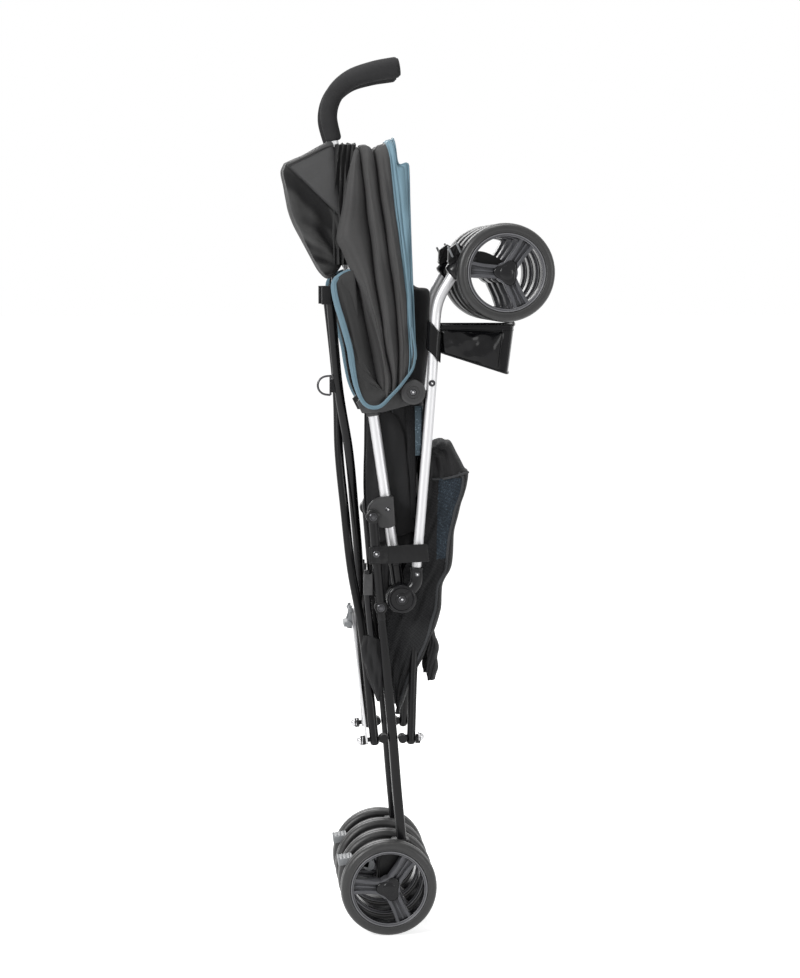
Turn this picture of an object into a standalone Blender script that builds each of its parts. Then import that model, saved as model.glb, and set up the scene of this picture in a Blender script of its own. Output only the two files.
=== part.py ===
"""Folded umbrella stroller, modelled as separate sub-parts at real size.

Metres, +Z up. The stroller stands on its rear wheels, folded: its front looks along -Y and its
right side is -X. The two sides mirror each other across X = 0. Side-view points are (y, z) pairs.
"""
import math

import bmesh
import bpy
from mathutils import Matrix, Vector

# Clearances
SEAT_GAP = 0.0003
RUN_GAP = 0.0004
OPEN_PIVOT_GAP = 0.0012
CLOTH_GAP = 0.0012
MIDDLE_GAP = 0.0015
CUT_OVERRUN = 0.0100
WELD = 0.00001
SHARP_ANGLE = 40
BEVEL_ANGLE = 50

# Tubes
HANDLE_R = 0.0068
FRONT_TUBE_R = 0.0063
REAR_TUBE_R = 0.0060
CROSS_TUBE_R = 0.0058
SEAT_CROSS_R = 0.0055
LEG_DEPTH = 0.0130
LEG_WIDTH = 0.0124
SOCKET_WALL = 0.0026
GRIP_R = 0.0145
GRIP_END_WALL = 0.0100

# Side-view pivots
HUB = (0.0210, 0.4304)
REAR_PIVOT = (0.0580, 0.5370)
REAR_AXLE = (0.0405, 0.0620)
FRONT_AXLE = (-0.1071, 0.8461)
CASTER_PIVOT = (-0.0560, 0.8555)
CASTER_AXIS = (0.7790, -0.6260)
LOWER_HEIGHT = 0.2490
REAR_CROSS_TOP = (0.1117, 0.8318)
SEAT_CROSS_TOP = (-0.0162, 0.7052)
LATCH_PIVOT = (0.0537, 0.4877)
BRAKE_PIVOT = (0.0640, 0.0860)
CANOPY_BOSS = (0.0066, 0.6950)

# Distances of each layer from the middle plane
HANDLE_X = 0.0310
REAR_LEG_X = 0.0560
REAR_CROSS_TOP_X = 0.0400
WHEEL_OFFSET = 0.0280

# Handle and grip
HANDLE_TOP = (0.1061, 1.0115)
GRIP_PATH = [(0.1128, 1.0432), (0.1054, 1.0698), (0.0851, 1.0888), (0.0560, 1.0989)]
GRIP_TIP = (0.0243, 1.1045)

# Hub, elbow and brackets
HUB_R = 0.0190
HUB_SOCKET = 0.0460
HUB_INSERT = 0.0300
ELBOW_LEAD = 0.0220
RIVET_R = 0.0042
RIVET_HEIGHT = 0.0012
BRACKET_CORNER = (0.0310, 0.5225)
BRACKET_SWEEP = 0.0385
BRACKET_LIP = 0.0020
BRACKET_RIVET_RISE = 0.0231
CLAMP_HALF = 0.0100
CANOPY_PLATE = 0.0048
CANOPY_BOSS_R = 0.0160
CANOPY_BOSS_DEPTH = 0.0190
CANOPY_TAIL_EDGE = [(0.0180, -0.0130), (0.0110, -0.0270), (-0.0160, -0.0260)]
CANOPY_TAIL_RISE = 0.0070

# Front leg
LEG_FOOT = (0.0016, 0.4710)
FRONT_LEG_PATH = [(-0.0110, 0.6203), (-0.0178, 0.7090), (-0.0212, 0.7723), (-0.0262, 0.8100),
                  (-0.0430, 0.8420)]
CASTER_SOCKET_R = 0.0128
CASTER_SOCKET_LENGTH = 0.0200
CROWN_R = 0.0135
FORK_R = 0.0120
CROWN_HEIGHT = 0.0200
LEG_INSERT = 0.0140
FOOTREST_LAP = 0.0032
SLEEVE_DROP = 0.0070

# Rear leg
REAR_LEG_PATH = [(0.0484, 0.4203), (0.0370, 0.2975), (0.0319, 0.2405), (0.0269, 0.1772),
                 (0.0193, 0.0950)]
REAR_EYE_R = 0.0090
HOUSING_WIDTH = 0.0200
HOUSING_REAR_Y = 0.0540
HOUSING_OUTLINE = [(0.0120, 0.1180), (0.0330, 0.1180), (0.0500, 0.1040), (HOUSING_REAR_Y, 0.0960),
                   (HOUSING_REAR_Y, 0.0520), (0.0460, 0.0480), (0.0340, 0.0480), (0.0140, 0.0760)]
LEG_OVERLAP = 0.0117
AXLE_R = 0.0040
AXLE_END = 0.0010
COLLAR_R = 0.0080

# Lower blocks and cross tubes
BLOCK_R = 0.0055
BLOCK_WIDTH = 0.0150
PAD_R = 0.0050
BOLT_R = 0.0030
NUT_R = 0.0062
NUT_HEIGHT = 0.0060
BOW_START = 0.22
CROSS_SHARE = 0.13
BOW_SHOULDER = 0.92
CROSS_GAP = 0.0009
HUB_CLEARANCE = 0.0040
REAR_CROSS_SHORT = 0.0040
SEAT_CROSS_SHORT = 0.0120
BAR_LENGTH = 0.1680
BAR_WIDTH = 0.0120
BAR_THICKNESS = 0.0025
PEDAL_SIZE = (0.0340, 0.0120, 0.0220)

# Wheels
WHEEL_R = 0.0620
WHEEL_WIDTH = 0.0240
TYRE_DEPTH = 0.0130
RIM_DEPTH = 0.0035
RIM_LIP = 0.0010
HUB_CAP_R = 0.0150
SPOKE_EMBED = 0.0045
SPOKE_PAIRS = 3
SPOKE_SPREAD = 0.0110
SPOKE_WIDTH = 0.0032
WHEEL_STEPS = 18
TYRE_BEAD = 0.86
TYRE_CROWN = [(0.0060, 1.00), (0.0018, 0.72), (0.0000, 0.34)]

# Brake lever and storage latch
LEVER_WIDTH = 0.0180
LEVER_HALF = 0.0045
LEVER_KNEE = (0.0780, 0.0900)
LEVER_PEDAL = (0.0920, 0.0985)
LEVER_PAD = (0.0240, 0.0130, 0.0100)
LATCH_PLATE = 0.0030
LATCH_END = (-0.0110, 0.4880)
LATCH_OVERHANG = 0.0080
LATCH_HALF = 0.0120

# Soft parts
WING_DEPTH = 0.0200
PLEAT_STEP = 0.0007
PLEAT_LIFTS = (0.80, 1.00, 0.88, 0.70)
SOFT_BEVEL = 0.0040
BASKET_HALF = 0.0385
POUCH_HALF = 0.0435
BRIDGE_HALF = 0.0460
SLEEVE_GAP = 0.0004

# Outlines of the soft parts in the side view
PLEAT_REAR = [(0.0816, 0.9980), (0.0760, 0.9990), (0.0620, 0.9200), (0.0560, 0.8600),
              (0.0600, 0.8000), (0.0570, 0.7400), (0.0520, 0.6860), (0.0598, 0.6742),
              (0.0740, 0.6841), (0.0830, 0.7190), (0.0908, 0.7710), (0.1000, 0.8094),
              (0.1015, 0.8356), (0.0930, 0.8500), (0.1020, 0.8900), (0.0960, 0.9400)]
PLEAT_MIDDLE = [(0.0760, 1.0010), (0.0570, 1.0040), (0.0420, 0.9200), (0.0330, 0.8300),
                (0.0330, 0.7600), (0.0340, 0.6880), (0.0430, 0.6800), (0.0598, 0.6752),
                (0.0650, 0.7400), (0.0700, 0.8100), (0.0680, 0.8800)]
PLEAT_FRONT = [(0.0560, 1.0050), (0.0389, 1.0060), (0.0270, 0.9300), (0.0180, 0.8600),
               (0.0140, 0.7960), (0.0080, 0.7385), (0.0086, 0.7250), (0.0255, 0.7040),
               (0.0370, 0.6900), (0.0400, 0.7600), (0.0420, 0.8400), (0.0500, 0.9200)]
VISOR = [(0.0410, 1.0070), (0.0319, 1.0120), (0.0269, 0.9870), (0.0142, 0.9856),
         (0.0142, 0.9710), (0.0091, 0.8748), (0.0060, 0.7400), (0.0160, 0.7450),
         (0.0230, 0.8700), (0.0330, 0.9500)]
BRIDGE = [(0.0760, 0.9960), (0.0389, 1.0010), (0.0250, 0.9500), (0.0200, 0.8800), (0.0250, 0.8620),
          (0.0740, 0.8640)]
POUCH = [(0.1649, 0.9799), (0.1690, 0.9710), (0.1661, 0.9570), (0.1598, 0.9292), (0.1488, 0.9019),
         (0.1351, 0.8702), (0.1240, 0.8520), (0.1130, 0.8470), (0.0930, 0.8560), (0.0940, 0.9000),
         (0.1030, 0.9600), (0.1090, 1.0030), (0.1213, 1.0034)]
SLING = [(0.0120, 0.8400), (0.0090, 0.7700), (0.0060, 0.6900), (0.0130, 0.6000), (0.0180, 0.5600),
         (0.0080, 0.5380), (0.0100, 0.5290), (0.0300, 0.5300), (0.0400, 0.5450), (0.0500, 0.6200),
         (0.0600, 0.7000), (0.0690, 0.7700), (0.0700, 0.8400)]
BASKET = [(-0.0260, 0.6150), (-0.0310, 0.6170), (-0.0402, 0.6150), (-0.0538, 0.6010),
          (-0.0590, 0.5930), (-0.0610, 0.5780), (-0.0580, 0.5560), (-0.0490, 0.5241),
          (-0.0460, 0.4710), (-0.0430, 0.4470), (-0.0370, 0.4060), (-0.0340, 0.3900),
          (-0.0290, 0.3650), (-0.0260, 0.3300), (-0.0200, 0.3200), (-0.0080, 0.3200),
          (-0.0120, 0.3600), (-0.0220, 0.4000), (-0.0273, 0.4400), (-0.0283, 0.5200),
          (-0.0273, 0.5600), (-0.0240, 0.6000)]
FOOTREST = [(-0.0250, 0.7760), (-0.0900, 0.7760), (-0.1240, 0.7760), (-0.1225, 0.7600),
            (-0.1200, 0.7320), (-0.1200, 0.7150), (-0.1124, 0.7140), (-0.0934, 0.7230),
            (-0.0326, 0.7460), (-0.0240, 0.7470)]


def between(path, height):
    """Distance forward of a falling polyline at a height."""
    for high, low in zip(path, path[1:]):
        if low[1] <= height <= high[1]:
            return low[0] + (height - low[1]) / (high[1] - low[1]) * (high[0] - low[0])
    raise ValueError("path does not reach the height")


# Folding cross tubes keep these places beside the legs they reach
SEAT_CROSS_TOP_X_OFFSET = FRONT_TUBE_R + OPEN_PIVOT_GAP + SEAT_CROSS_R
HUB_HALF = HANDLE_R + SOCKET_WALL
ELBOW_HALF = FRONT_TUBE_R + SOCKET_WALL
FRONT_LEG_X = HANDLE_X + HUB_HALF + SEAT_GAP + ELBOW_HALF
PLATE_X = HANDLE_X + HANDLE_R + SEAT_GAP
RIM_R = WHEEL_R - TYRE_DEPTH
WHEEL_INNER_X = REAR_LEG_X - WHEEL_OFFSET
WHEEL_OUTER_X = REAR_LEG_X + WHEEL_OFFSET
COLLAR_HALF = WHEEL_OFFSET - WHEEL_WIDTH / 2 - RUN_GAP
PIN_HALF = WHEEL_OFFSET + WHEEL_WIDTH / 2 + AXLE_END
LOWER_LEG_Y = between(REAR_LEG_PATH, LOWER_HEIGHT)
REAR_CROSS_LOW = (LOWER_LEG_Y + LEG_DEPTH / 2 + 2 * BLOCK_R + CROSS_TUBE_R + 2 * SEAT_GAP, LOWER_HEIGHT)
SEAT_CROSS_LOW = (LOWER_LEG_Y - LEG_DEPTH / 2 - 2 * BLOCK_R - SEAT_CROSS_R - 2 * SEAT_GAP, LOWER_HEIGHT)
PARTS = "umbrella_stroller"
CUTTERS = "umbrella_stroller_cutters"


def clear_scene():
    """Remove every object that the scene holds."""
    for obj in list(bpy.data.objects):
        bpy.data.objects.remove(obj, do_unlink=True)


def collection(name):
    """Return the named collection, linked to the scene."""
    found = bpy.data.collections.get(name)
    if found is None:
        found = bpy.data.collections.new(name)
        bpy.context.scene.collection.children.link(found)
    return found


def material(name, color, roughness, metallic):
    """Make a material with a single Principled BSDF."""
    made = bpy.data.materials.new(name)
    made.use_nodes = True
    shader = made.node_tree.nodes["Principled BSDF"]
    shader.inputs["Base Color"].default_value = (*color, 1.0)
    shader.inputs["Roughness"].default_value = roughness
    shader.inputs["Metallic"].default_value = metallic
    made.diffuse_color = (*color, 1.0)
    return made


def finish_part(obj, name, look):
    """Name an object, give it its material and shade its round faces smooth."""
    obj.name = name
    obj.data.name = name
    obj.data.materials.clear()
    obj.data.materials.append(look)
    obj.data.shade_smooth()
    obj.data.set_sharp_from_angle(angle=math.radians(SHARP_ANGLE))
    return obj


def link_new(name, data):
    """Wrap data in an object of the parts collection."""
    obj = bpy.data.objects.new(name, data)
    collection(PARTS).objects.link(obj)
    return obj


def to_mesh(obj):
    """Turn a curve or a modified object into a plain mesh object with welded caps."""
    bpy.context.view_layer.update()
    graph = bpy.context.evaluated_depsgraph_get()
    mesh = bpy.data.meshes.new_from_object(obj.evaluated_get(graph), depsgraph=graph)
    work = bmesh.new()
    work.from_mesh(mesh)
    bmesh.ops.remove_doubles(work, verts=work.verts, dist=WELD)
    work.to_mesh(mesh)
    work.free()
    made = link_new(obj.name + "_mesh", mesh)
    made.matrix_world = obj.matrix_world.copy()
    bpy.data.objects.remove(obj, do_unlink=True)
    return made


def apply_place(obj):
    """Write the object's place into its mesh, so that its origin is the world's."""
    obj.data.transform(obj.matrix_world)
    obj.matrix_world = Matrix.Identity(4)
    return obj


def boolean(target, other, operation):
    """Join or cut with another mesh object, which becomes a hidden cutter."""
    cutters = collection(CUTTERS)
    for held in list(other.users_collection):
        held.objects.unlink(other)
    cutters.objects.link(other)
    other.hide_render = True
    other.display_type = 'WIRE'
    modifier = target.modifiers.new(operation.title(), 'BOOLEAN')
    modifier.operation = operation
    modifier.solver = 'EXACT'
    modifier.object = other


def join(target, *others):
    """Unite solids into one body."""
    for other in others:
        boolean(target, other, 'UNION')
    return target


def cut(target, *others):
    """Cut solids out of a body."""
    for other in others:
        boolean(target, other, 'DIFFERENCE')
    return target


def side_place(x):
    """Matrix that stands a flat outline in the side view, at a distance x from the middle."""
    return Matrix(((0, 0, 1, x), (1, 0, 0, 0), (0, 1, 0, 0), (0, 0, 0, 1)))


def slab(name, outline, thickness, place):
    """Extrude a flat outline by half its thickness each way, in the plane that a matrix gives."""
    data = bpy.data.curves.new(name, 'CURVE')
    data.dimensions = '2D'
    data.fill_mode = 'BOTH'
    data.extrude = thickness / 2
    spline = data.splines.new('POLY')
    spline.points.add(len(outline) - 1)
    for point, (x, y) in zip(spline.points, outline):
        point.co = (x, y, 0.0, 1.0)
    spline.use_cyclic_u = True
    curve = link_new(name, data)
    curve.matrix_world = place
    return apply_place(to_mesh(curve))


def plate(name, outline, side, near, far, bevel=0.0):
    """Extrude a side-view outline between two distances from the middle plane."""
    made = slab(name, outline, far - near, side_place(side * (near + far) / 2))
    if bevel:
        modifier = made.modifiers.new("Bevel", 'BEVEL')
        modifier.width = bevel
        modifier.segments = 2
        modifier.limit_method = 'ANGLE'
        modifier.angle_limit = math.radians(BEVEL_ANGLE)
        made = apply_place(to_mesh(made))
    return made


def tube(name, points, radius, resolution=2):
    """Sweep a round section along points."""
    data = bpy.data.curves.new(name, 'CURVE')
    data.dimensions = '3D'
    data.bevel_depth = radius
    data.bevel_resolution = resolution
    data.use_fill_caps = True
    spline = data.splines.new('POLY')
    spline.points.add(len(points) - 1)
    for point, place in zip(spline.points, points):
        point.co = (*place, 1.0)
    return apply_place(to_mesh(link_new(name, data)))


def cylinder(name, start, end, radius, segments=16):
    """Round bar between two points."""
    start, end = Vector(start), Vector(end)
    direction = end - start
    work = bmesh.new()
    bmesh.ops.create_cone(work, cap_ends=True, segments=segments, radius1=radius, radius2=radius,
                          depth=direction.length)
    turn = direction.to_track_quat('Z', 'Y').to_matrix().to_4x4()
    bmesh.ops.transform(work, matrix=Matrix.Translation((start + end) / 2) @ turn, verts=work.verts)
    mesh = bpy.data.meshes.new(name)
    work.to_mesh(mesh)
    work.free()
    return link_new(name, mesh)


def box(name, centre, size, turn=None):
    """Rectangular block, turned about its centre."""
    work = bmesh.new()
    bmesh.ops.create_cube(work, size=1.0)
    place = Matrix.Translation(centre) @ (turn or Matrix.Identity(4)) @ Matrix.Diagonal((*size, 1.0))
    bmesh.ops.transform(work, matrix=place, verts=work.verts)
    mesh = bpy.data.meshes.new(name)
    work.to_mesh(mesh)
    work.free()
    return link_new(name, mesh)


def disc(name, centre, side, near, far, radius, segments=20):
    """Round plate whose axis runs across the stroller."""
    y, z = centre
    return cylinder(name, (side * near, y, z), (side * far, y, z), radius, segments)


def smooth_path(points, steps=4):
    """Catmull-Rom points through a list of places."""
    places = [Vector(point) for point in points]
    padded = [2 * places[0] - places[1]] + places + [2 * places[-1] - places[-2]]
    made = []
    for a, b, c, d in zip(padded, padded[1:], padded[2:], padded[3:]):
        for step in range(steps):
            t = step / steps
            made.append(0.5 * (2 * b + (c - a) * t + (2 * a - 5 * b + 4 * c - d) * t * t
                               + (3 * b - a - 3 * c + d) * t ** 3))
    made.append(places[-1])
    return made


def at(side, x, point):
    """World place of a side-view point at a distance from the middle plane."""
    return Vector((side * x, point[0], point[1]))


def band(points, half):
    """Outline of a strip that runs along side-view points."""
    left = []
    right = []
    for index, point in enumerate(points):
        before = Vector(points[max(index - 1, 0)])
        after = Vector(points[min(index + 1, len(points) - 1)])
        along = (after - before).normalized()
        across = Vector((-along.y, along.x)) * half
        left.append(tuple(Vector(point) + across))
        right.append(tuple(Vector(point) - across))
    return left + right[::-1]


def arc(centre, radius, start, end, steps):
    """Points of a circular arc in the side view, with angles in degrees."""
    turn = [math.radians(start + (end - start) * step / steps) for step in range(steps + 1)]
    return [(centre[0] + radius * math.cos(a), centre[1] + radius * math.sin(a)) for a in turn]


def rivet(centre, side, x):
    """Low rivet head that stands on a face at a distance x."""
    return disc("rivet", centre, side, x - RIVET_HEIGHT, x + RIVET_HEIGHT, RIVET_R, 12)


def handle_point(height):
    """Centre line of the straight handle tube at a height."""
    share = (height - HUB[1]) / (HANDLE_TOP[1] - HUB[1])
    return (HUB[0] + share * (HANDLE_TOP[0] - HUB[0]), height)


def handle_route(side, start, stop_short):
    """Places along the handle tube and through the crook of its grip."""
    straight = [at(side, HANDLE_X, start), at(side, HANDLE_X, HANDLE_TOP)]
    crook = [at(side, HANDLE_X, point) for point in [HANDLE_TOP] + GRIP_PATH + [GRIP_TIP]]
    bend = smooth_path(crook, 3)
    last = bend[-1] + (bend[-2] - bend[-1]).normalized() * stop_short
    return straight[:1] + bend[:-1] + [last]


def make_handle(side, word, looks):
    """Handle tube, foam grip and hub of one side."""
    foot = handle_point(HUB[1] + HUB_SOCKET - HUB_INSERT)
    route = handle_route(side, foot, GRIP_END_WALL)
    finish_part(tube("handle", route, HANDLE_R), word + "_handle_tube", looks["silver"])

    crook = handle_route(side, HANDLE_TOP, 0.0)[1:]
    grip = tube("grip", crook, GRIP_R, 4)
    bore_route = handle_route(side, handle_point(HANDLE_TOP[1] - 2 * CUT_OVERRUN), GRIP_END_WALL - SEAT_GAP)
    cut(grip, tube("grip_bore", bore_route, HANDLE_R + SEAT_GAP))
    finish_part(grip, word + "_grip", looks["foam"])

    socket_top = handle_point(HUB[1] + HUB_SOCKET)
    hub = disc("hub", HUB, side, HANDLE_X - HUB_HALF, HANDLE_X + HUB_HALF, HUB_R, 28)
    socket = cylinder("socket", at(side, HANDLE_X, HUB), at(side, HANDLE_X, socket_top),
                      HUB_HALF - SEAT_GAP, 20)
    join(hub, socket)
    bore_top = handle_point(HUB[1] + HUB_SOCKET + CUT_OVERRUN)
    bore_foot = handle_point(foot[1] - SEAT_GAP)
    cut(hub, cylinder("hub_bore", at(side, HANDLE_X, bore_foot), at(side, HANDLE_X, bore_top),
                      HANDLE_R + SEAT_GAP, 16))
    finish_part(hub, word + "_hub", looks["plastic"])


def make_brackets(side, word, looks):
    """Brackets riveted to the handle tube of one side."""
    corner = BRACKET_CORNER
    outline = arc(corner, BRACKET_SWEEP, 0, 90, 8)
    outline += [(corner[0] - BRACKET_LIP, corner[1] + BRACKET_SWEEP), (corner[0] - BRACKET_LIP, corner[1])]
    far = REAR_LEG_X - LEG_WIDTH / 2 - SEAT_GAP
    quarter = plate("quarter", outline, side, PLATE_X, far)
    join(quarter, rivet(handle_point(corner[1] + BRACKET_RIVET_RISE), side, far))
    finish_part(quarter, word + "_leg_bracket", looks["plastic"])

    height = REAR_CROSS_TOP[1]
    tube_y = handle_point(height)[0]
    rear_face = REAR_CROSS_TOP[0] - CROSS_TUBE_R - OPEN_PIVOT_GAP
    outline = [(tube_y - HANDLE_R - SOCKET_WALL, height - CLAMP_HALF),
               (rear_face, height - CLAMP_HALF), (rear_face, height + CLAMP_HALF),
               (tube_y - HANDLE_R - SOCKET_WALL, height + CLAMP_HALF)]
    clamp = plate("clamp", outline, side, HANDLE_X - HUB_HALF, PLATE_X + CANOPY_PLATE)
    low, high = handle_point(height - 2 * CLAMP_HALF), handle_point(height + 2 * CLAMP_HALF)
    cut(clamp, cylinder("clamp_bore", at(side, HANDLE_X, low), at(side, HANDLE_X, high),
                        HANDLE_R + SEAT_GAP, 16))
    finish_part(clamp, word + "_cross_clamp", looks["plastic"])

    tail = handle_point(CANOPY_BOSS[1])
    edge = [(tail[0] + y, tail[1] + z) for y, z in CANOPY_TAIL_EDGE]
    edge.append((CANOPY_BOSS[0], CANOPY_BOSS[1] - CANOPY_BOSS_R))
    top = [(CANOPY_BOSS[0], CANOPY_BOSS[1] + CANOPY_BOSS_R), (tail[0], tail[1] + CANOPY_TAIL_RISE)]
    bracket = plate("canopy_plate", edge + top, side, PLATE_X, PLATE_X + CANOPY_PLATE)
    boss = disc("boss", CANOPY_BOSS, side, PLATE_X, PLATE_X + CANOPY_BOSS_DEPTH, CANOPY_BOSS_R, 24)
    join(bracket, boss)
    finish_part(bracket, word + "_canopy_bracket", looks["plastic"])


def front_leg_route(side):
    """Places along the front leg tube, from its elbow to the caster."""
    points = [at(side, FRONT_LEG_X, point) for point in [LEG_FOOT] + FRONT_LEG_PATH[:-1]]
    points.append(at(side, (FRONT_LEG_X + REAR_LEG_X) / 2, FRONT_LEG_PATH[-1]))
    return smooth_path(points, 3)


def route_at(route, height):
    """Place where a rising route passes a height."""
    for low, high in zip(route, route[1:]):
        if low.z <= height <= high.z:
            return low.lerp(high, (height - low.z) / (high.z - low.z))
    raise ValueError("route does not reach the height")


def make_front_leg(side, word, looks):
    """Elbow, tube and footrest half of one front leg."""
    route = front_leg_route(side)
    along = (route[1] - route[0]).normalized()
    foot = route[0] - along * LEG_INSERT
    leg = tube("front_leg", [foot] + route, FRONT_TUBE_R)
    axis = Vector((0, *CASTER_AXIS)).normalized()
    crown_top = at(side, REAR_LEG_X, CASTER_PIVOT) + axis * SEAT_GAP
    join(leg, cylinder("caster_socket", crown_top, crown_top + axis * CASTER_SOCKET_LENGTH,
                       CASTER_SOCKET_R, 20))
    finish_part(leg, word + "_front_leg_tube", looks["silver"])

    near = FRONT_LEG_X - ELBOW_HALF
    elbow = disc("elbow", HUB, side, near, FRONT_LEG_X + ELBOW_HALF, HUB_R, 28)
    mouth = route[0]
    inner = mouth - along * ELBOW_LEAD
    bend = smooth_path([at(side, FRONT_LEG_X, HUB), inner, mouth], 4)
    join(elbow, tube("elbow_arm", bend, ELBOW_HALF - SEAT_GAP, 4))
    join(elbow, rivet(HUB, side, FRONT_LEG_X + ELBOW_HALF))
    cut(elbow, cylinder("elbow_bore", foot - along * SEAT_GAP, mouth + along * CUT_OVERRUN,
                        FRONT_TUBE_R + SEAT_GAP, 16))
    finish_part(elbow, word + "_front_elbow", looks["plastic"])

    rest = plate("footrest", FOOTREST, side, MIDDLE_GAP, FRONT_LEG_X + FOOTREST_LAP)
    low, high = FOOTREST[-1][1] - SLEEVE_DROP, FOOTREST[0][1]
    inside = [point for point in route if low < point.z < high]
    sleeve = tube("sleeve", [route_at(route, low)] + inside + [route_at(route, high)],
                  FRONT_TUBE_R + SLEEVE_GAP + SOCKET_WALL)
    join(rest, sleeve)
    cut(rest, tube("sleeve_bore", [foot] + route, FRONT_TUBE_R + SLEEVE_GAP))
    finish_part(rest, word + "_footrest_half", looks["vinyl"])


def make_axle(side, place):
    """Collar between two wheels and the pin that carries them."""
    collar = disc("collar", place, side, REAR_LEG_X - COLLAR_HALF, REAR_LEG_X + COLLAR_HALF, COLLAR_R, 16)
    pin = disc("axle", place, side, REAR_LEG_X - PIN_HALF, REAR_LEG_X + PIN_HALF, AXLE_R, 12)
    return collar, pin


def make_caster(side, word, looks):
    """Caster fork of one front leg, with its stem and axle."""
    axis = Vector((0, *CASTER_AXIS)).normalized()
    centre = at(side, REAR_LEG_X, CASTER_PIVOT)
    axle = at(side, REAR_LEG_X, FRONT_AXLE)
    bend = centre.lerp(axle, 1 / 3) - axis * FORK_R
    body = tube("fork", [centre - axis * CROWN_HEIGHT / 2, bend, axle], FORK_R, 4)
    crown = cylinder("crown", centre, centre - axis * CROWN_HEIGHT, CROWN_R, 24)
    join(body, crown)
    collar, pin = make_axle(side, FRONT_AXLE)
    join(body, collar, pin)
    finish_part(body, word + "_caster_fork", looks["plastic"])


def turned(name, section):
    """Ring about the X axis, turned from a closed section of (radius, across) pairs."""
    work = bmesh.new()
    ring = [work.verts.new((radius, 0.0, across)) for radius, across in section]
    for first, second in zip(ring, ring[1:] + ring[:1]):
        work.edges.new((first, second))
    mesh = bpy.data.meshes.new(name)
    work.to_mesh(mesh)
    work.free()
    obj = link_new(name, mesh)
    screw = obj.modifiers.new("Screw", 'SCREW')
    screw.angle = math.tau
    screw.steps = WHEEL_STEPS
    screw.render_steps = WHEEL_STEPS
    screw.use_merge_vertices = True
    screw.merge_threshold = 0.0001
    made = to_mesh(obj)
    made.data.transform(Matrix.Rotation(math.radians(90), 4, 'Y'))
    return made


def take_mesh(obj):
    """Keep an object's evaluated mesh and remove the object."""
    made = to_mesh(obj)
    mesh = made.data
    bpy.data.objects.remove(made, do_unlink=True)
    return mesh


def rim_mesh():
    """Mesh of one wheel rim, turned about the X axis at the origin."""
    half = WHEEL_WIDTH / 2
    edge = half - RIM_LIP
    bed = RIM_R - RIM_DEPTH
    barrel = turned("barrel", [(bed, edge), (RIM_R, edge), (RIM_R, -edge), (bed, -edge)])
    spokes = []
    for pair in range(SPOKE_PAIRS):
        for lean in (-1, 1):
            angle = math.radians(360 * pair / SPOKE_PAIRS - 90)
            turn = Matrix.Rotation(angle, 4, 'X')
            root = HUB_CAP_R - SPOKE_EMBED
            tip = bed + RIM_DEPTH / 2
            centre = turn @ Vector((0, (root + tip) / 2, lean * SPOKE_SPREAD / 2))
            size = (edge, tip - root, SPOKE_WIDTH)
            spokes.append(box("spoke", centre, size, turn))
    core = cylinder("core", (-half, 0, 0), (half, 0, 0), HUB_CAP_R, 18)
    join(barrel, *spokes)
    join(barrel, core)
    reach = half + CUT_OVERRUN
    cut(barrel, cylinder("bore", (-reach, 0, 0), (reach, 0, 0), AXLE_R + RUN_GAP, 12))
    return take_mesh(barrel)


def tyre_mesh():
    """Mesh of one tyre: a rounded section turned about the X axis at the origin."""
    half = WHEEL_WIDTH / 2
    inner = RIM_R + SEAT_GAP
    flank = [(inner, half * TYRE_BEAD)] + [(WHEEL_R - drop, half * share) for drop, share in TYRE_CROWN]
    section = flank + [(radius, -across) for radius, across in reversed(flank)]
    return take_mesh(turned("tyre_section", section))


def make_wheels(looks):
    """Eight wheels: a rim and a tyre at every axle end."""
    rim = rim_mesh()
    tyre = tyre_mesh()
    for axle_word, axle in (("front", FRONT_AXLE), ("rear", REAR_AXLE)):
        for side, word in ((-1, "right"), (1, "left")):
            for place, x in (("outer", WHEEL_OUTER_X), ("inner", WHEEL_INNER_X)):
                stem = "_".join((word, axle_word, place))
                for kind, mesh, look in (("rim", rim, "rim"), ("tyre", tyre, "tyre")):
                    obj = link_new(stem + "_" + kind, mesh.copy())
                    finish_part(obj, stem + "_" + kind, looks[look])
                    obj.location = at(side, x, axle)


def make_rear_leg(side, word, looks):
    """Rear leg of one side with its pivot eye, axle housing and axle."""
    leg = plate("rear_leg", band(REAR_LEG_PATH, LEG_DEPTH / 2), side,
                REAR_LEG_X - LEG_WIDTH / 2, REAR_LEG_X + LEG_WIDTH / 2)
    top = at(side, REAR_LEG_X, REAR_PIVOT)
    shoulder = at(side, REAR_LEG_X, REAR_LEG_PATH[0])
    upper = cylinder("upper_leg", shoulder + (shoulder - top).normalized() * LEG_OVERLAP, top, REAR_TUBE_R, 16)
    eye = disc("eye", REAR_PIVOT, side, REAR_LEG_X - LEG_WIDTH / 2, REAR_LEG_X + LEG_WIDTH / 2,
               REAR_EYE_R)
    housing = plate("housing", HOUSING_OUTLINE, side, REAR_LEG_X - HOUSING_WIDTH / 2,
                    REAR_LEG_X + HOUSING_WIDTH / 2)
    collar, pin = make_axle(side, REAR_AXLE)
    join(leg, upper, eye, housing, collar, pin)
    join(leg, rivet(REAR_PIVOT, side, REAR_LEG_X + LEG_WIDTH / 2))
    finish_part(leg, word + "_rear_leg", looks["paint"])


def make_brake(side, word, looks):
    """Brake lever between the rear wheels of one side."""
    near = REAR_LEG_X - LEVER_WIDTH / 2
    far = REAR_LEG_X + LEVER_WIDTH / 2
    eye_r = BRAKE_PIVOT[0] - HOUSING_REAR_Y - SEAT_GAP
    hook = disc("lever_eye", BRAKE_PIVOT, side, near, far, eye_r, 16)
    arm = plate("lever_arm", band([BRAKE_PIVOT, LEVER_KNEE, LEVER_PEDAL], LEVER_HALF), side, near, far)
    pedal = box("lever_pedal", at(side, REAR_LEG_X, LEVER_PEDAL), LEVER_PAD)
    join(hook, arm, pedal)
    finish_part(hook, word + "_brake_lever", looks["gray"])


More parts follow.
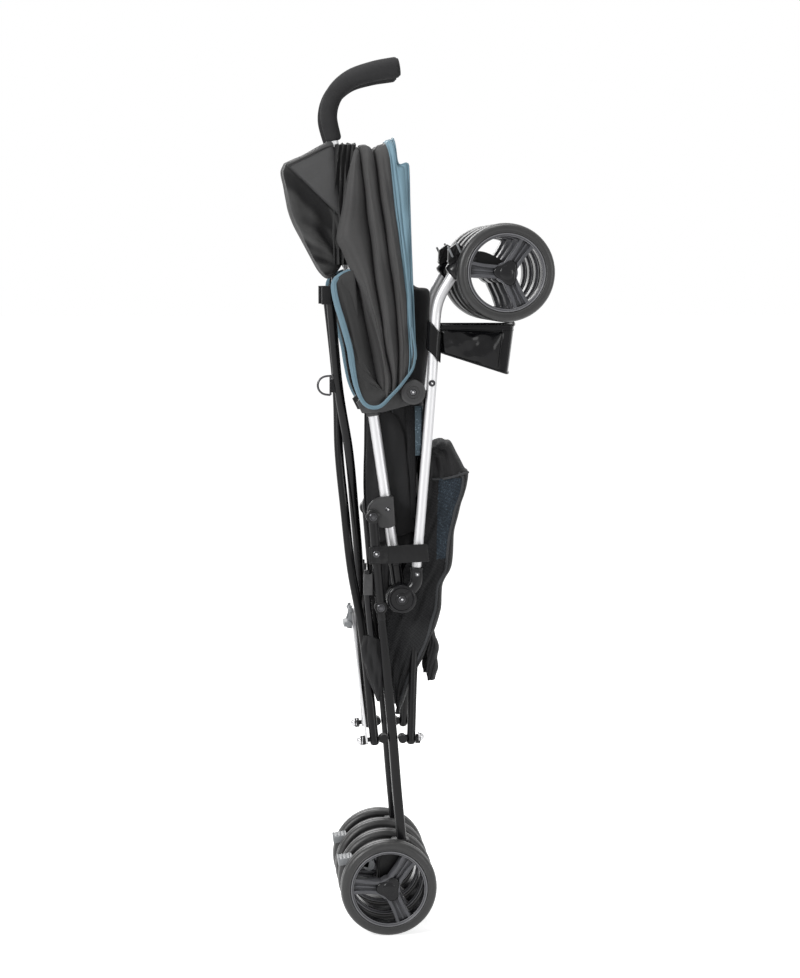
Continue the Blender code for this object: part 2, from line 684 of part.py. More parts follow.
def cross_plane(low, top):
    """Direction along a cross frame in the side view, and its forward normal."""
    along = Vector((0, top[0] - low[0], top[1] - low[1])).normalized()
    return along, Vector((0, -along.z, along.y))


def make_cross(side, word, stem, low, top, low_x, top_x, radius, shift, short, look):
    """One tube of a crossing pair: it runs from its own side to the other and bows at the middle."""
    along, forward = cross_plane(low, top)
    start = at(side, low_x, low)
    end = at(-side, top_x, top)
    bow = forward * (shift + side * (radius + CROSS_GAP))
    shares = ((0.0, 0), (BOW_START, 0), (0.5 - CROSS_SHARE, BOW_SHOULDER), (0.5, 1),
              (0.5 + CROSS_SHARE, BOW_SHOULDER), (1.0 - BOW_START, 0), (1.0, 0))
    route = [start.lerp(end, share) + bow * amount for share, amount in shares]
    step = (end - start).normalized() * radius
    path = [start - step] + smooth_path(route[:-1] + [end - step.normalized() * short], 3)
    made = tube(stem, path, radius)
    reach = forward * (radius + CUT_OVERRUN)
    cut(made, cylinder("eye_bore", start - reach, start + reach, BOLT_R + RUN_GAP, 12))
    finish_part(made, word + "_" + stem, look)


def make_block(side, word, stem, face, low, top, rearward, reach, looks):
    """Swivel block beside a rear leg, with the bolt that carries a cross tube."""
    forward = cross_plane(low, top)[1]
    out = -forward if rearward else forward
    pivot_y = face + (BLOCK_R + SEAT_GAP) * (1 if rearward else -1)
    near = REAR_LEG_X - BLOCK_WIDTH / 2
    far = REAR_LEG_X + BLOCK_WIDTH / 2
    radius = CROSS_TUBE_R if rearward else SEAT_CROSS_R
    eye = at(side, REAR_LEG_X, low)
    bolt_start = eye - out * ((eye.y - pivot_y) / out.y)
    block = disc(stem, (bolt_start.y, bolt_start.z), side, near, far, BLOCK_R, 20)
    seat = eye - out * (radius + SEAT_GAP)
    pad = cylinder("pad", bolt_start, seat, PAD_R, 16)
    bolt = cylinder("bolt", bolt_start, eye + out * (reach + NUT_HEIGHT / 2), BOLT_R, 12)
    nut = cylinder("nut", eye + out * reach, eye + out * (reach + NUT_HEIGHT), NUT_R, 6)
    join(block, pad, bolt, nut)
    finish_part(block, word + "_" + stem, looks["plastic"])


def make_stretcher(side, word, looks):
    """Flat bar that runs from the rear block's bolt to the middle pivot."""
    along, forward = cross_plane(REAR_CROSS_LOW, REAR_CROSS_TOP)
    layer = CROSS_TUBE_R + SEAT_GAP + BAR_THICKNESS / 2
    if side < 0:
        layer += BAR_THICKNESS + SEAT_GAP
    start = at(side, REAR_LEG_X, REAR_CROSS_LOW) - forward * layer
    rise = math.sqrt(BAR_LENGTH ** 2 - REAR_LEG_X ** 2)
    end = start + along * rise - Vector((side * REAR_LEG_X, 0, 0))
    line = (end - start).normalized()
    place = Matrix((line, forward.cross(line), forward)).transposed().to_4x4()
    place.translation = (start + end) / 2
    half = BAR_LENGTH / 2
    outline = arc((half, 0), BAR_WIDTH / 2, -90, 90, 8) + arc((-half, 0), BAR_WIDTH / 2, 90, 270, 8)
    bar = slab("bar", outline, BAR_THICKNESS, place)
    cut(bar, cylinder("bar_hole", start - forward * CUT_OVERRUN, start + forward * CUT_OVERRUN,
                      BOLT_R + RUN_GAP, 12))
    finish_part(bar, word + "_stretcher_bar", looks["silver"])
    return end, forward, along


def make_pedal(end, forward, along, looks):
    """Foot pedal fixed on the middle of the stretcher."""
    rear = end - forward * (BAR_THICKNESS / 2 + SEAT_GAP)
    turn = Matrix((Vector((1, 0, 0)), -forward, along)).transposed().to_4x4()
    centre = rear - forward * PEDAL_SIZE[1] / 2
    pedal = box("pedal", centre, PEDAL_SIZE, turn)
    finish_part(pedal, "fold_pedal", looks["plastic"])


def make_latch(looks):
    """Storage latch on the right side, which holds the folded legs together."""
    near = REAR_LEG_X + LEG_WIDTH / 2 + SEAT_GAP
    outline = band([(LATCH_PIVOT[0] + LATCH_OVERHANG, LATCH_PIVOT[1]), LATCH_END], LATCH_HALF)
    latch = plate("latch", outline, -1, near, near + LATCH_PLATE)
    join(latch, rivet(LATCH_PIVOT, -1, near + LATCH_PLATE))
    finish_part(latch, "storage_latch", looks["plastic"])


def make_cloth(side, word, looks):
    """Soft halves of one side: canopy, pouch, seat sling and basket."""
    wing_near = PLATE_X + CANOPY_PLATE + CLOTH_GAP
    outlines = (PLEAT_REAR, PLEAT_MIDDLE, PLEAT_FRONT, VISOR)
    pleats = [plate("pleat", outline, side, wing_near + index * PLEAT_STEP,
                    wing_near + WING_DEPTH * lift, SOFT_BEVEL)
              for index, (outline, lift) in enumerate(zip(outlines, PLEAT_LIFTS))]
    canopy = pleats[0]
    bridge = plate("bridge", BRIDGE, side, MIDDLE_GAP, BRIDGE_HALF + CLOTH_GAP * 2)
    join(canopy, *pleats[1:])
    join(canopy, bridge)
    low, high = handle_point(HUB[1] + HUB_SOCKET), handle_point(HANDLE_TOP[1])
    cut(canopy, cylinder("canopy_channel", at(side, HANDLE_X, low), at(side, HANDLE_X, high),
                         HANDLE_R + CLOTH_GAP, 16))
    cut(canopy, disc("boss_room", CANOPY_BOSS, side, PLATE_X, wing_near + WING_DEPTH + CUT_OVERRUN,
                     CANOPY_BOSS_R + CLOTH_GAP))
    finish_part(canopy, word + "_canopy_half", looks["fabric"])

    pouch = plate("pouch", POUCH, side, MIDDLE_GAP, POUCH_HALF, SOFT_BEVEL)
    cut(pouch, cylinder("pouch_channel", at(side, HANDLE_X, low), at(side, HANDLE_X, high),
                        HANDLE_R + SEAT_GAP, 16))
    finish_part(pouch, word + "_pouch_half", looks["fabric"])

    sling = plate("sling", SLING, side, MIDDLE_GAP, HANDLE_X - HANDLE_R - SEAT_GAP, SOFT_BEVEL)
    finish_part(sling, word + "_seat_half", looks["fabric_dark"])

    basket = plate("basket", BASKET, side, MIDDLE_GAP, BASKET_HALF, SOFT_BEVEL)
    finish_part(basket, word + "_basket_half", looks["mesh"])


def make_looks():
    """Every material of the stroller, by a short name."""
    return {
        "silver": material("tube_silver", (0.72, 0.73, 0.74), 0.28, 1.0),
        "foam": material("grip_foam", (0.075, 0.078, 0.085), 0.85, 0.0),
        "plastic": material("black_plastic", (0.022, 0.022, 0.024), 0.42, 0.0),
        "paint": material("black_paint", (0.018, 0.018, 0.020), 0.30, 0.0),
        "gray": material("lever_gray", (0.42, 0.43, 0.44), 0.50, 0.0),
        "rim": material("rim_slate", (0.075, 0.078, 0.095), 0.38, 0.0),
        "tyre": material("tyre_charcoal", (0.048, 0.047, 0.045), 0.80, 0.0),
        "fabric": material("canopy_charcoal", (0.050, 0.052, 0.058), 0.90, 0.0),
        "fabric_dark": material("seat_black", (0.020, 0.020, 0.022), 0.90, 0.0),
        "mesh": material("basket_navy", (0.028, 0.040, 0.062), 0.90, 0.0),
        "vinyl": material("footrest_vinyl", (0.012, 0.012, 0.013), 0.22, 0.0),
    }


def main():
    """Build the stroller."""
    clear_scene()
    looks = make_looks()
    leg_half = LEG_DEPTH / 2
    for side, word in ((-1, "right"), (1, "left")):
        make_handle(side, word, looks)
        make_brackets(side, word, looks)
        make_front_leg(side, word, looks)
        make_caster(side, word, looks)
        make_rear_leg(side, word, looks)
        make_brake(side, word, looks)
        make_cross(side, word, "rear_cross_tube", REAR_CROSS_LOW, REAR_CROSS_TOP, REAR_LEG_X,
                   REAR_CROSS_TOP_X, CROSS_TUBE_R, 0.0, REAR_CROSS_SHORT, looks["paint"])
        make_cross(side, word, "seat_cross_tube", SEAT_CROSS_LOW, SEAT_CROSS_TOP, REAR_LEG_X,
                   FRONT_LEG_X - SEAT_CROSS_TOP_X_OFFSET, SEAT_CROSS_R,
                   SEAT_CROSS_R + CROSS_GAP + HUB_CLEARANCE, SEAT_CROSS_SHORT, looks["paint"])
        rear_reach = CROSS_TUBE_R + 2 * BAR_THICKNESS + 3 * SEAT_GAP
        make_block(side, word, "rear_block", LOWER_LEG_Y + leg_half, REAR_CROSS_LOW, REAR_CROSS_TOP, True,
                   rear_reach, looks)
        make_block(side, word, "seat_block", LOWER_LEG_Y - leg_half, SEAT_CROSS_LOW, SEAT_CROSS_TOP, False,
                   SEAT_CROSS_R + SEAT_GAP, looks)
        end, forward, along = make_stretcher(side, word, looks)
        if side < 0:
            make_pedal(end, forward, along, looks)
        make_cloth(side, word, looks)
    make_wheels(looks)
    make_latch(looks)


main()
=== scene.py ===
"""Folded umbrella stroller: the finished pieces around its fixed frame.

Metres, +Z up. The stroller stands folded on its rear wheels, its front towards -Y and its right
side at -X. Side-view places are (y, z) pairs, and x is a distance from the middle plane.
"""
import math

import bpy
import numpy as np
from bpy.props import FloatProperty, FloatVectorProperty, PointerProperty
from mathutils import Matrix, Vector


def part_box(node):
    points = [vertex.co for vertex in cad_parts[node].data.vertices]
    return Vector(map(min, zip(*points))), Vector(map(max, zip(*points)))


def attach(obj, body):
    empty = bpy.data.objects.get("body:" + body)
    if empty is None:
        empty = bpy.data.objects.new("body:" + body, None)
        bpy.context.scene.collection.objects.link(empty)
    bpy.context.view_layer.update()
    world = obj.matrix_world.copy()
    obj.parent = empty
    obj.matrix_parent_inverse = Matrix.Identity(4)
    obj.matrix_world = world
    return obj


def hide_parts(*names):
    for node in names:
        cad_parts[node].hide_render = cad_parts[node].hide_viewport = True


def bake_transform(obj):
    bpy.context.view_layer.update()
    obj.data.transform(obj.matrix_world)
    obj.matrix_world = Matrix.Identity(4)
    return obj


bl_info = {
    "name": "Folded Umbrella Stroller",
    "version": (1, 0, 0),
    "blender": (4, 5, 0),
    "location": "3D View > Sidebar > Stroller",
    "description": "Builds a folded umbrella stroller, piece by piece, around its frame",
    "category": "Object",
}

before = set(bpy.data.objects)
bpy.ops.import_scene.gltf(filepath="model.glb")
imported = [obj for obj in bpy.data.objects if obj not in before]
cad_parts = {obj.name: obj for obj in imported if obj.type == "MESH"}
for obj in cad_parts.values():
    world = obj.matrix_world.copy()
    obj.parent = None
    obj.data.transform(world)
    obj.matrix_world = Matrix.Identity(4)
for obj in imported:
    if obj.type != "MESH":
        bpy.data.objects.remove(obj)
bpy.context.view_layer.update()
SIDES = ((-1, "right"), (1, "left"))


def middle(node):
    """Centre of a node's box."""
    low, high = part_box(node)
    return (low + high) / 2


# Layers and places read from the frame
HANDLE_X = middle("left_handle_tube").x
FRONT_LEG_X = middle("left_front_elbow").x
REAR_LEG_X = middle("left_rear_leg").x
FRONT_AXLE = tuple(middle("left_front_outer_tyre"))[1:]
REAR_AXLE = tuple(middle("left_rear_outer_tyre"))[1:]

# Handle, grip and hub
HUB = (0.021, 0.4304)
HUB_R = 0.019
HUB_HALF = 0.0094
HANDLE_TOP = (0.1061, 1.0115)
GRIP_PATH = [HANDLE_TOP, (0.1128, 1.0432), (0.1054, 1.0698), (0.0851, 1.0888), (0.056, 1.0989),
             (0.0243, 1.1045)]
HANDLE_R = 0.0068
SOCKET_LENGTH = 0.046
PLATE_X = HANDLE_X + HANDLE_R + 0.0003
BOSS_RISE = 0.019
PLATE_THICKNESS = 0.0048

# Front leg and caster
ELBOW_HALF = 0.0089
LEG_PATH = [(0.0016, 0.471), (-0.011, 0.6203), (-0.0178, 0.709), (-0.0212, 0.7723), (-0.0262, 0.81),
            (-0.043, 0.842)]
LEG_R = 0.0063
ELBOW_STUD = (0.0014, 0.4622)
LEG_SCREW = (-0.0174, 0.7064)
CASTER_PIVOT = (-0.056, 0.8555)
CASTER_AXIS = (0.779, -0.626)

# Rear leg and the folding linkage
QUARTER = [(0.031, 0.561), (0.0381, 0.5617), (0.0458, 0.5611), (0.0547, 0.558), (0.0611, 0.5523),
           (0.0643, 0.5446), (0.0643, 0.5369), (0.0612, 0.5292), (0.0548, 0.524), (0.0445, 0.5213),
           (0.035, 0.5214), (0.029, 0.525)]
QUARTER_RIVETS = ((0.0562, 0.5377), (0.038, 0.5452))
REAR_PIVOT = (0.058, 0.537)
REAR_PATH = [(0.0484, 0.4203), (0.037, 0.2975), (0.0319, 0.2405), (0.0269, 0.1772), (0.0193, 0.095)]
HOUSING = [(0.012, 0.118), (0.033, 0.118), (0.05, 0.104), (0.054, 0.096), (0.054, 0.052),
           (0.046, 0.048), (0.034, 0.048), (0.014, 0.076)]
BRAKE_PIVOT = (0.064, 0.086)
CANOPY_BOSS = (0.0066, 0.695)
LOW_HEIGHT = 0.249
REAR_LOW = (0.0566, LOW_HEIGHT)
REAR_TOP = (0.1117, 0.8318)
SEAT_LOW = (0.0091, LOW_HEIGHT)
SEAT_TOP = (-0.0162, 0.7052)
REAR_TOP_X = 0.04
REAR_CROSS_R = 0.0058
SEAT_CROSS_R = 0.0055
CROSS_GAP = 0.0009
AXLE_HALF = 0.041
SPOKE_TURN = 5
LATCH_X = REAR_LEG_X + 0.0065
LATCH_RIVET = (0.0544, 0.4901)


class StrollerSizes(bpy.types.PropertyGroup):
    """Sizes that a user would change."""
    cloth_thickness: FloatProperty(name="Cloth thickness", description="Thickness of the canopy cloth",
                                   default=0.0012, min=0.0003, unit='LENGTH')
    thread_pitch: FloatProperty(name="Thread pitch", description="Distance between two threads of the cloth",
                                default=0.0011, min=0.0003, unit='LENGTH')
    piping_radius: FloatProperty(name="Piping radius", description="Half the thickness of the blue edging",
                                 default=0.0022, min=0.0005, unit='LENGTH')


class StrollerColours(bpy.types.PropertyGroup):
    """Colours that a user would change."""
    cloth: FloatVectorProperty(name="Canopy cloth", description="Colour of the canopy and pouch",
                               subtype='COLOR', size=3, default=(0.076, 0.075, 0.075), min=0, max=1)
    lining: FloatVectorProperty(name="Seat cloth", description="Colour of the seat and basket cloth",
                                subtype='COLOR', size=3, default=(0.024, 0.024, 0.025), min=0, max=1)
    trim: FloatVectorProperty(name="Blue trim", description="Colour of the edging",
                              subtype='COLOR', size=3, default=(0.17, 0.27, 0.33), min=0, max=1)
    visor: FloatVectorProperty(name="Visor", description="Colour of the visor cloth",
                               subtype='COLOR', size=3, default=(0.215, 0.345, 0.42), min=0, max=1)
    rim: FloatVectorProperty(name="Wheel rim", description="Colour of the wheel rims",
                             subtype='COLOR', size=3, default=(0.07, 0.071, 0.078), min=0, max=1)


def sizes():
    """The sizes in use."""
    return bpy.context.scene.stroller_sizes


def colours():
    """The colours in use."""
    return bpy.context.scene.stroller_colours


def finish(look):
    """Material of a look."""
    return bpy.data.materials["finish_" + look]


# Surfaces

def unit(vectors):
    """Vectors scaled to length one."""
    return vectors / np.maximum(np.linalg.norm(vectors, axis=-1, keepdims=True), 1e-12)


def side_path(side, x, places):
    """World places of side-view points, as an array."""
    flat = np.asarray(places, float)
    return np.column_stack([side * np.broadcast_to(x, len(flat)), flat])


def layered(x, flat):
    """World places of a grid of side-view points at distances x."""
    return np.concatenate([np.broadcast_to(x, flat.shape[:2])[..., None], flat], -1)


def lengths_along(points):
    """Length of a line up to each of its points."""
    return np.concatenate([[0], np.cumsum(np.linalg.norm(np.diff(points, axis=0), axis=1))])


def resample(points, count):
    """Points at equal steps of a line's length."""
    lengths = lengths_along(points)
    wanted = np.linspace(0, lengths[-1], count)
    return np.column_stack([np.interp(wanted, lengths, axis) for axis in points.T])


def spline(points, count):
    """Smooth line through points: each span is a cubic with slopes of (next - last) / 2 at its ends."""
    p = np.asarray(points, float)
    q = np.vstack([2 * p[0] - p[1], p, 2 * p[-1] - p[-2]])
    t = np.linspace(0, 1, 24, endpoint=False)[:, None, None]
    a, b, c, d = q[:-3], q[1:-2], q[2:-1], q[3:]
    line = 0.5 * (2 * b + (c - a) * t + (2 * a - 5 * b + 4 * c - d) * t ** 2 + (3 * b - a - 3 * c + d) * t ** 3)
    line = np.vstack([line.transpose(1, 0, 2).reshape(-1, p.shape[1]), p[-1]])
    return resample(line, count)


def grid(points, wrap=(False, False), caps=False):
    """Rows by columns of points joined into quads: points, corners, corners per face and UVs in metres.

    wrap closes the rows or the columns round on themselves. caps closes the first and last row. The
    corners run the other way round where the volume, a sum of a . (b x c), comes out below zero.
    """
    rows, columns = points.shape[:2]
    i, j = np.meshgrid(np.arange(rows - (not wrap[0])), np.arange(columns - (not wrap[1])), indexing="ij")
    corners = ((0, 0), (0, 1), (1, 1), (1, 0))
    faces = np.stack([((i + a) % rows) * columns + (j + b) % columns for a, b in corners], -1).reshape(-1, 4)
    spots = np.stack([np.stack([j + b, i + a], -1) for a, b in corners], -2).reshape(-1, 4, 2)
    down = np.linalg.norm(np.diff(np.concatenate([points, points[:1]]), axis=0), axis=2).mean(1)
    across = np.linalg.norm(np.diff(np.concatenate([points, points[:, :1]], 1), axis=1), axis=2).mean(0)
    u, v = (np.concatenate([[0], np.cumsum(steps)]) for steps in (across, down))
    flat = points.reshape(-1, 3)
    a, b, c, d = (flat[faces[:, k]] - flat.mean(0) for k in range(4))
    volume = np.einsum("ij,ij->", a, np.cross(b, c)) + np.einsum("ij,ij->", a, np.cross(c, d))
    inside_out = volume < 0
    if inside_out:
        faces, spots = faces[:, ::-1], spots[:, ::-1]
    uv = np.stack([u[spots[..., 0]], v[spots[..., 1]]], -1).reshape(-1, 2)
    turns, counts = faces.ravel(), np.full(len(faces), 4)
    if caps:
        ring = np.arange(columns)
        last = (rows - 1) * columns + ring
        ends = (ring, last[::-1]) if inside_out else (ring[::-1], last)
        turns = np.concatenate([turns, *ends])
        counts = np.concatenate([counts, [columns, columns]])
        uv = np.vstack([uv] + [flat[end, 1:] for end in ends])
    return flat, turns, counts, uv


def bar(path, radius, sides=32, rounding=0.0006, flat=1.0, power=1.0, across=(1, 0, 0), rows=64):
    """Bar along a path, with rounded ends.

    point = path + radius * (c * side + flat * s * up), where c and s are cos(a) and sin(a) to a power
    that squares the section off, up stands square to the path and to the fixed direction across, and
    the radius falls by a quarter circle at each end.
    """
    path = np.asarray(path, float)
    lengths = lengths_along(path)
    near = rounding * (1 - np.cos(np.linspace(0, math.pi / 2, 5)))
    at = np.concatenate([near, np.linspace(near[-1], lengths[-1] - near[-1], rows)[1:-1],
                         lengths[-1] - near[::-1]])
    line = np.column_stack([np.interp(at, lengths, axis) for axis in path.T])
    drop = np.clip(rounding - np.minimum(at, lengths[-1] - at), 0, None)
    size = np.interp(at, lengths, np.broadcast_to(radius, len(path)))
    size = size - rounding + np.sqrt(np.clip(rounding ** 2 - drop ** 2, 0, None))
    reach = min(0.002, lengths[-1] / 8)
    ends = [np.column_stack([np.interp(np.clip(at, reach, lengths[-1] - reach) + step, lengths, axis)
                             for axis in path.T]) for step in (-reach, reach)]
    along = unit(ends[1] - ends[0])
    up = unit(np.cross(along, np.asarray(across, float)))
    out = np.cross(up, along)
    turn = np.linspace(0, math.tau, sides, endpoint=False)
    c, s = (np.sign(w) * np.abs(w) ** power for w in (np.cos(turn), np.sin(turn)))
    ring = c[None, :, None] * out[:, None] + flat * s[None, :, None] * up[:, None]
    return grid(line[:, None] + size[:, None, None] * ring, (False, True), True)


def turned(profile, origin, axis, steps=48, closed=False):
    """Profile of (along, radius) pairs turned about an axis.

    point = origin + along * axis + radius * (cos(a) * e1 + sin(a) * e2)
    """
    profile = np.asarray(profile, float)
    axis = unit(np.asarray(axis, float))
    e1 = unit(np.cross(axis, (0.31, 0.52, 0.79)))
    e2 = np.cross(axis, e1)
    turn = np.linspace(0, math.tau, steps, endpoint=False)[None, :, None]
    ring = np.cos(turn) * e1 + np.sin(turn) * e2
    points = np.asarray(origin, float) + profile[:, :1, None] * axis + profile[:, 1:, None] * ring
    return grid(points, (closed, True), not closed)


def slab(outline, side, near, far, edge=0.0008):
    """Side-view outline given a thickness along X, with quarter-round edges.

    point = outline - edge * (1 - sin(a)) * outward normal, at a depth of edge * (1 - cos(a)) from a face
    """
    line = np.asarray(outline, float)
    before, after = unit(line - np.roll(line, 1, 0)), unit(np.roll(line, -1, 0) - line)
    turned_left = np.sum(before[:, 0] * after[:, 1] - before[:, 1] * after[:, 0]) > 0
    square = unit(before + after)
    normal = np.column_stack([square[:, 1], -square[:, 0]]) * (1 if turned_left else -1)
    turn = np.linspace(0, math.pi / 2, 4)
    inset, depth = edge * (1 - np.sin(turn)), edge * (1 - np.cos(turn))
    insets = np.concatenate([inset, inset[::-1]])
    depths = np.concatenate([near + depth, (far - depth)[::-1]])
    flat = line[None] - insets[:, None, None] * normal[None]
    return grid(layered(side * depths[:, None], flat), (False, True), True)


def leg_slab(outline, side, half, edge=0.0008):
    """Slab centred on the layer of the rear legs and casters."""
    return slab(outline, side, REAR_LEG_X - half, REAR_LEG_X + half, edge)


def arc(centre, radius, start, end, count):
    """Side-view points of an arc, with angles in degrees."""
    turn = np.radians(np.linspace(start, end, count))
    return np.column_stack([centre[0] + radius * np.cos(turn), centre[1] + radius * np.sin(turn)])


def strip(places, half):
    """Outline of a band that runs along side-view points, with a half width for each point."""
    line = np.asarray(places, float)
    along = unit(np.gradient(line, axis=0))
    square = np.column_stack([-along[:, 1], along[:, 0]]) * np.broadcast_to(half, len(line))[:, None]
    return np.vstack([line + square, (line - square)[::-1]])


def pill(start, end, radius):
    """Outline of a bar with round ends between two side-view points."""
    a, b = np.asarray(start, float), np.asarray(end, float)
    lean = math.degrees(math.atan2(*(b - a)[::-1]))
    return np.vstack([arc(b, radius, lean - 90, lean + 90, 12), arc(a, radius, lean + 90, lean + 270, 12)])


def piece(name, parts, look, body=None, replaced=(), crease=42):
    """Object made of one or more surfaces, which rides on a body and stands for solids of the frame."""
    points, turns, counts, uvs = zip(*(parts if isinstance(parts, list) else [parts]))
    starts = np.cumsum([0] + [len(part) for part in points])
    turns = np.concatenate([part + start for part, start in zip(turns, starts)])
    counts = np.concatenate(counts)
    mesh = bpy.data.meshes.new(name)
    mesh.vertices.add(starts[-1])
    mesh.vertices.foreach_set("co", np.vstack(points).astype(np.float32).ravel())
    mesh.loops.add(len(turns))
    mesh.loops.foreach_set("vertex_index", turns.astype(np.int32))
    mesh.polygons.add(len(counts))
    mesh.polygons.foreach_set("loop_start", (np.cumsum(counts) - counts).astype(np.int32))
    mesh.update(calc_edges=True)
    layer = mesh.uv_layers.new(name="cloth")
    layer.data.foreach_set("uv", np.vstack(uvs).astype(np.float32).ravel())
    mesh.materials.append(finish(look))
    mesh.shade_smooth()
    mesh.set_sharp_from_angle(angle=math.radians(crease))
    obj = bpy.data.objects.new(name, mesh)
    bpy.context.scene.collection.objects.link(obj)
    if body:
        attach(obj, body)
    if replaced:
        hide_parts(*replaced)
    return obj


def dress(node, look, edge=0.0006):
    """Give a solid of the frame its finish and soft edges."""
    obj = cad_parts[node]
    obj.data.materials.clear()
    obj.data.materials.append(finish(look))
    weld = obj.modifiers.new("Weld", 'WELD')
    weld.merge_threshold = 0.00001
    bevel = obj.modifiers.new("Bevel", 'BEVEL')
    bevel.width = edge
    bevel.segments = 2
    bevel.limit_method = 'ANGLE'
    bevel.angle_limit = math.radians(38)
    bevel.harden_normals = True


def handle_place(height):
    """Side-view centre of the straight handle tube at a height."""
    share = (height - HUB[1]) / (HANDLE_TOP[1] - HUB[1])
    return (HUB[0] + share * (HANDLE_TOP[0] - HUB[0]), height)


def handle_sleeve(side, low, high, radius, sides, rounding, rows):
    """Sleeve round the straight handle tube between two heights."""
    return bar(side_path(side, HANDLE_X, [handle_place(low), handle_place(high)]), radius, sides, rounding, rows=rows)


def mirrored(profile, middle=()):
    """Whole profile of a round piece from one half and the points in the middle."""
    return [*profile, *middle] + [(-along, radius) for along, radius in profile[::-1]]


def cylinder(half, radius, rim, drop, side, x, place, steps=36, tip=()):
    """Round bar along X, centred on a side-view place, its edges cut back by rim and drop."""
    profile = mirrored([*tip, (-half, radius - drop), (-half + rim, radius)])
    return turned(profile, (side * x, *place), (1, 0, 0), steps)


def button(side, x, place, radius, height=None, steps=24):
    """Low dome that stands on a side face: along = height * sin(a), radius * cos(a)."""
    height = height or radius * 0.5
    turn = np.linspace(0, math.pi / 2 * 0.97, 6)
    profile = [(-0.0008, radius)] + list(zip(height * np.sin(turn), radius * np.cos(turn)))
    return turned(profile, (side * x, *place), (side, 0, 0), steps)


def ringed(side, x, place, radius, height=0.0012):
    """Rivet: a ring with a raised round middle."""
    profile = [(-0.0008, radius), (height * 0.7, radius * 0.96), (height, radius * 0.82),
               (height * 0.55, radius * 0.66), (height * 0.6, radius * 0.5), (height * 1.3, radius * 0.42),
               (height * 1.5, radius * 0.2), (height * 1.5, 0.0002)]
    return turned(profile, (side * x, *place), (side, 0, 0), 28)


# Materials

class Nodes:
    """Adds nodes to a tree and wires their inputs."""

    def __init__(self, tree):
        self.tree = tree

    def add(self, kind, inputs=(), **settings):
        """Node with its settings, and its inputs linked or set."""
        node = self.tree.nodes.new(kind if kind.startswith("NodeGroup") else "ShaderNode" + kind)
        for key, value in settings.items():
            setattr(node, key, value)
        for key, value in dict(inputs).items():
            if isinstance(value, bpy.types.NodeSocket):
                self.tree.links.new(value, node.inputs[key])
            else:
                node.inputs[key].default_value = value
        return node

    def math(self, operation, *values, clamp=False):
        """Output of a Math node."""
        return self.add("Math", enumerate(values), operation=operation, use_clamp=clamp).outputs[0]

    def mix(self, factor, a, b):
        """Output of a colour mix."""
        return self.add("Mix", {0: factor, 6: a, 7: b}, data_type='RGBA', clamp_result=True).outputs[2]

    def spread(self, value, low, high, to_low, to_high):
        """Output of a value moved from one range to another."""
        return self.add("MapRange", {0: value, 1: low, 2: high, 3: to_low, 4: to_high}).outputs[0]

    def noise(self, vector, scale, detail=3.0, roughness=0.55, stretch=None):
        """Output of a noise texture, which may be stretched."""
        if stretch:
            vector = self.add("Mapping", {"Vector": vector, "Scale": stretch}).outputs[0]
        return self.add("TexNoise", {"Vector": vector, "Scale": scale, "Detail": detail,
                                     "Roughness": roughness}).outputs["Fac"]

    def use(self, name, **inputs):
        """Outputs of one of the shared groups."""
        return self.add("Group", inputs, node_tree=bpy.data.node_groups[name]).outputs


def make_group(name, inputs, outputs, build):
    """Shared node group with named inputs and outputs, filled by build(nodes, entry)."""
    tree = bpy.data.node_groups.new(name, 'ShaderNodeTree')
    for socket, default in inputs.items():
        kind = "NodeSocketVector" if default is None else "NodeSocketFloat"
        made = tree.interface.new_socket(socket, in_out='INPUT', socket_type=kind)
        if default is not None:
            made.default_value = default
    for socket in outputs:
        tree.interface.new_socket(socket, in_out='OUTPUT', socket_type="NodeSocketFloat")
    nodes = Nodes(tree)
    entry = nodes.add("NodeGroupInput").outputs
    exit_node = nodes.add("NodeGroupOutput")
    for socket, value in build(nodes, entry).items():
        tree.links.new(value, exit_node.inputs[socket])


def build_weave(n, entry):
    """Plain weave: threads run both ways, and each goes over the next in turn."""
    parts = n.add("SeparateXYZ", {0: entry["Vector"]}).outputs
    u, v = (n.math('DIVIDE', parts[k], entry["Pitch"]) for k in (0, 1))
    warp, weft = (n.math('SINE', n.math('MULTIPLY', n.math('FRACT', w), math.pi)) for w in (u, v))
    parity = n.math('MODULO', n.math('ABSOLUTE', n.math('ADD', n.math('FLOOR', u), n.math('FLOOR', v))), 2)
    over = n.math('MULTIPLY', warp, n.math('SUBTRACT', 1, parity))
    height = n.math('ADD', over, n.math('MULTIPLY', weft, parity))
    thread = n.noise(entry["Vector"], 420, 1.0, stretch=(1, 0.06, 1))
    cross = n.noise(entry["Vector"], 420, 1.0, stretch=(0.06, 1, 1))
    tint = n.math('MULTIPLY', n.math('ADD', thread, cross), 0.5)
    shade = n.math('ADD', n.math('MULTIPLY', height, 0.35), n.math('MULTIPLY', tint, 0.65))
    return {"Height": height, "Shade": shade}


def build_grain(n, entry):
    """Moulded grain: fine cells over a broad unevenness."""
    cells = n.add("TexVoronoi", {"Vector": entry["Vector"], "Scale": entry["Scale"]},
                  feature='SMOOTH_F1').outputs["Distance"]
    broad = n.noise(entry["Vector"], n.math('MULTIPLY', entry["Scale"], 0.08), 4.0)
    return {"Height": n.math('ADD', cells, n.math('MULTIPLY', broad, 0.5)), "Shade": broad}


def build_brushed(n, entry):
    """Drawn metal: long faint lines along the tube and broad soft patches."""
    lines = n.noise(entry["Vector"], entry["Scale"], 4.0, 0.6, stretch=(1, 1, 0.03))
    patches = n.noise(entry["Vector"], 14, 3.0)
    shade = n.math('ADD', n.math('MULTIPLY', lines, 0.5), n.math('MULTIPLY', patches, 0.5))
    return {"Height": lines, "Shade": shade}


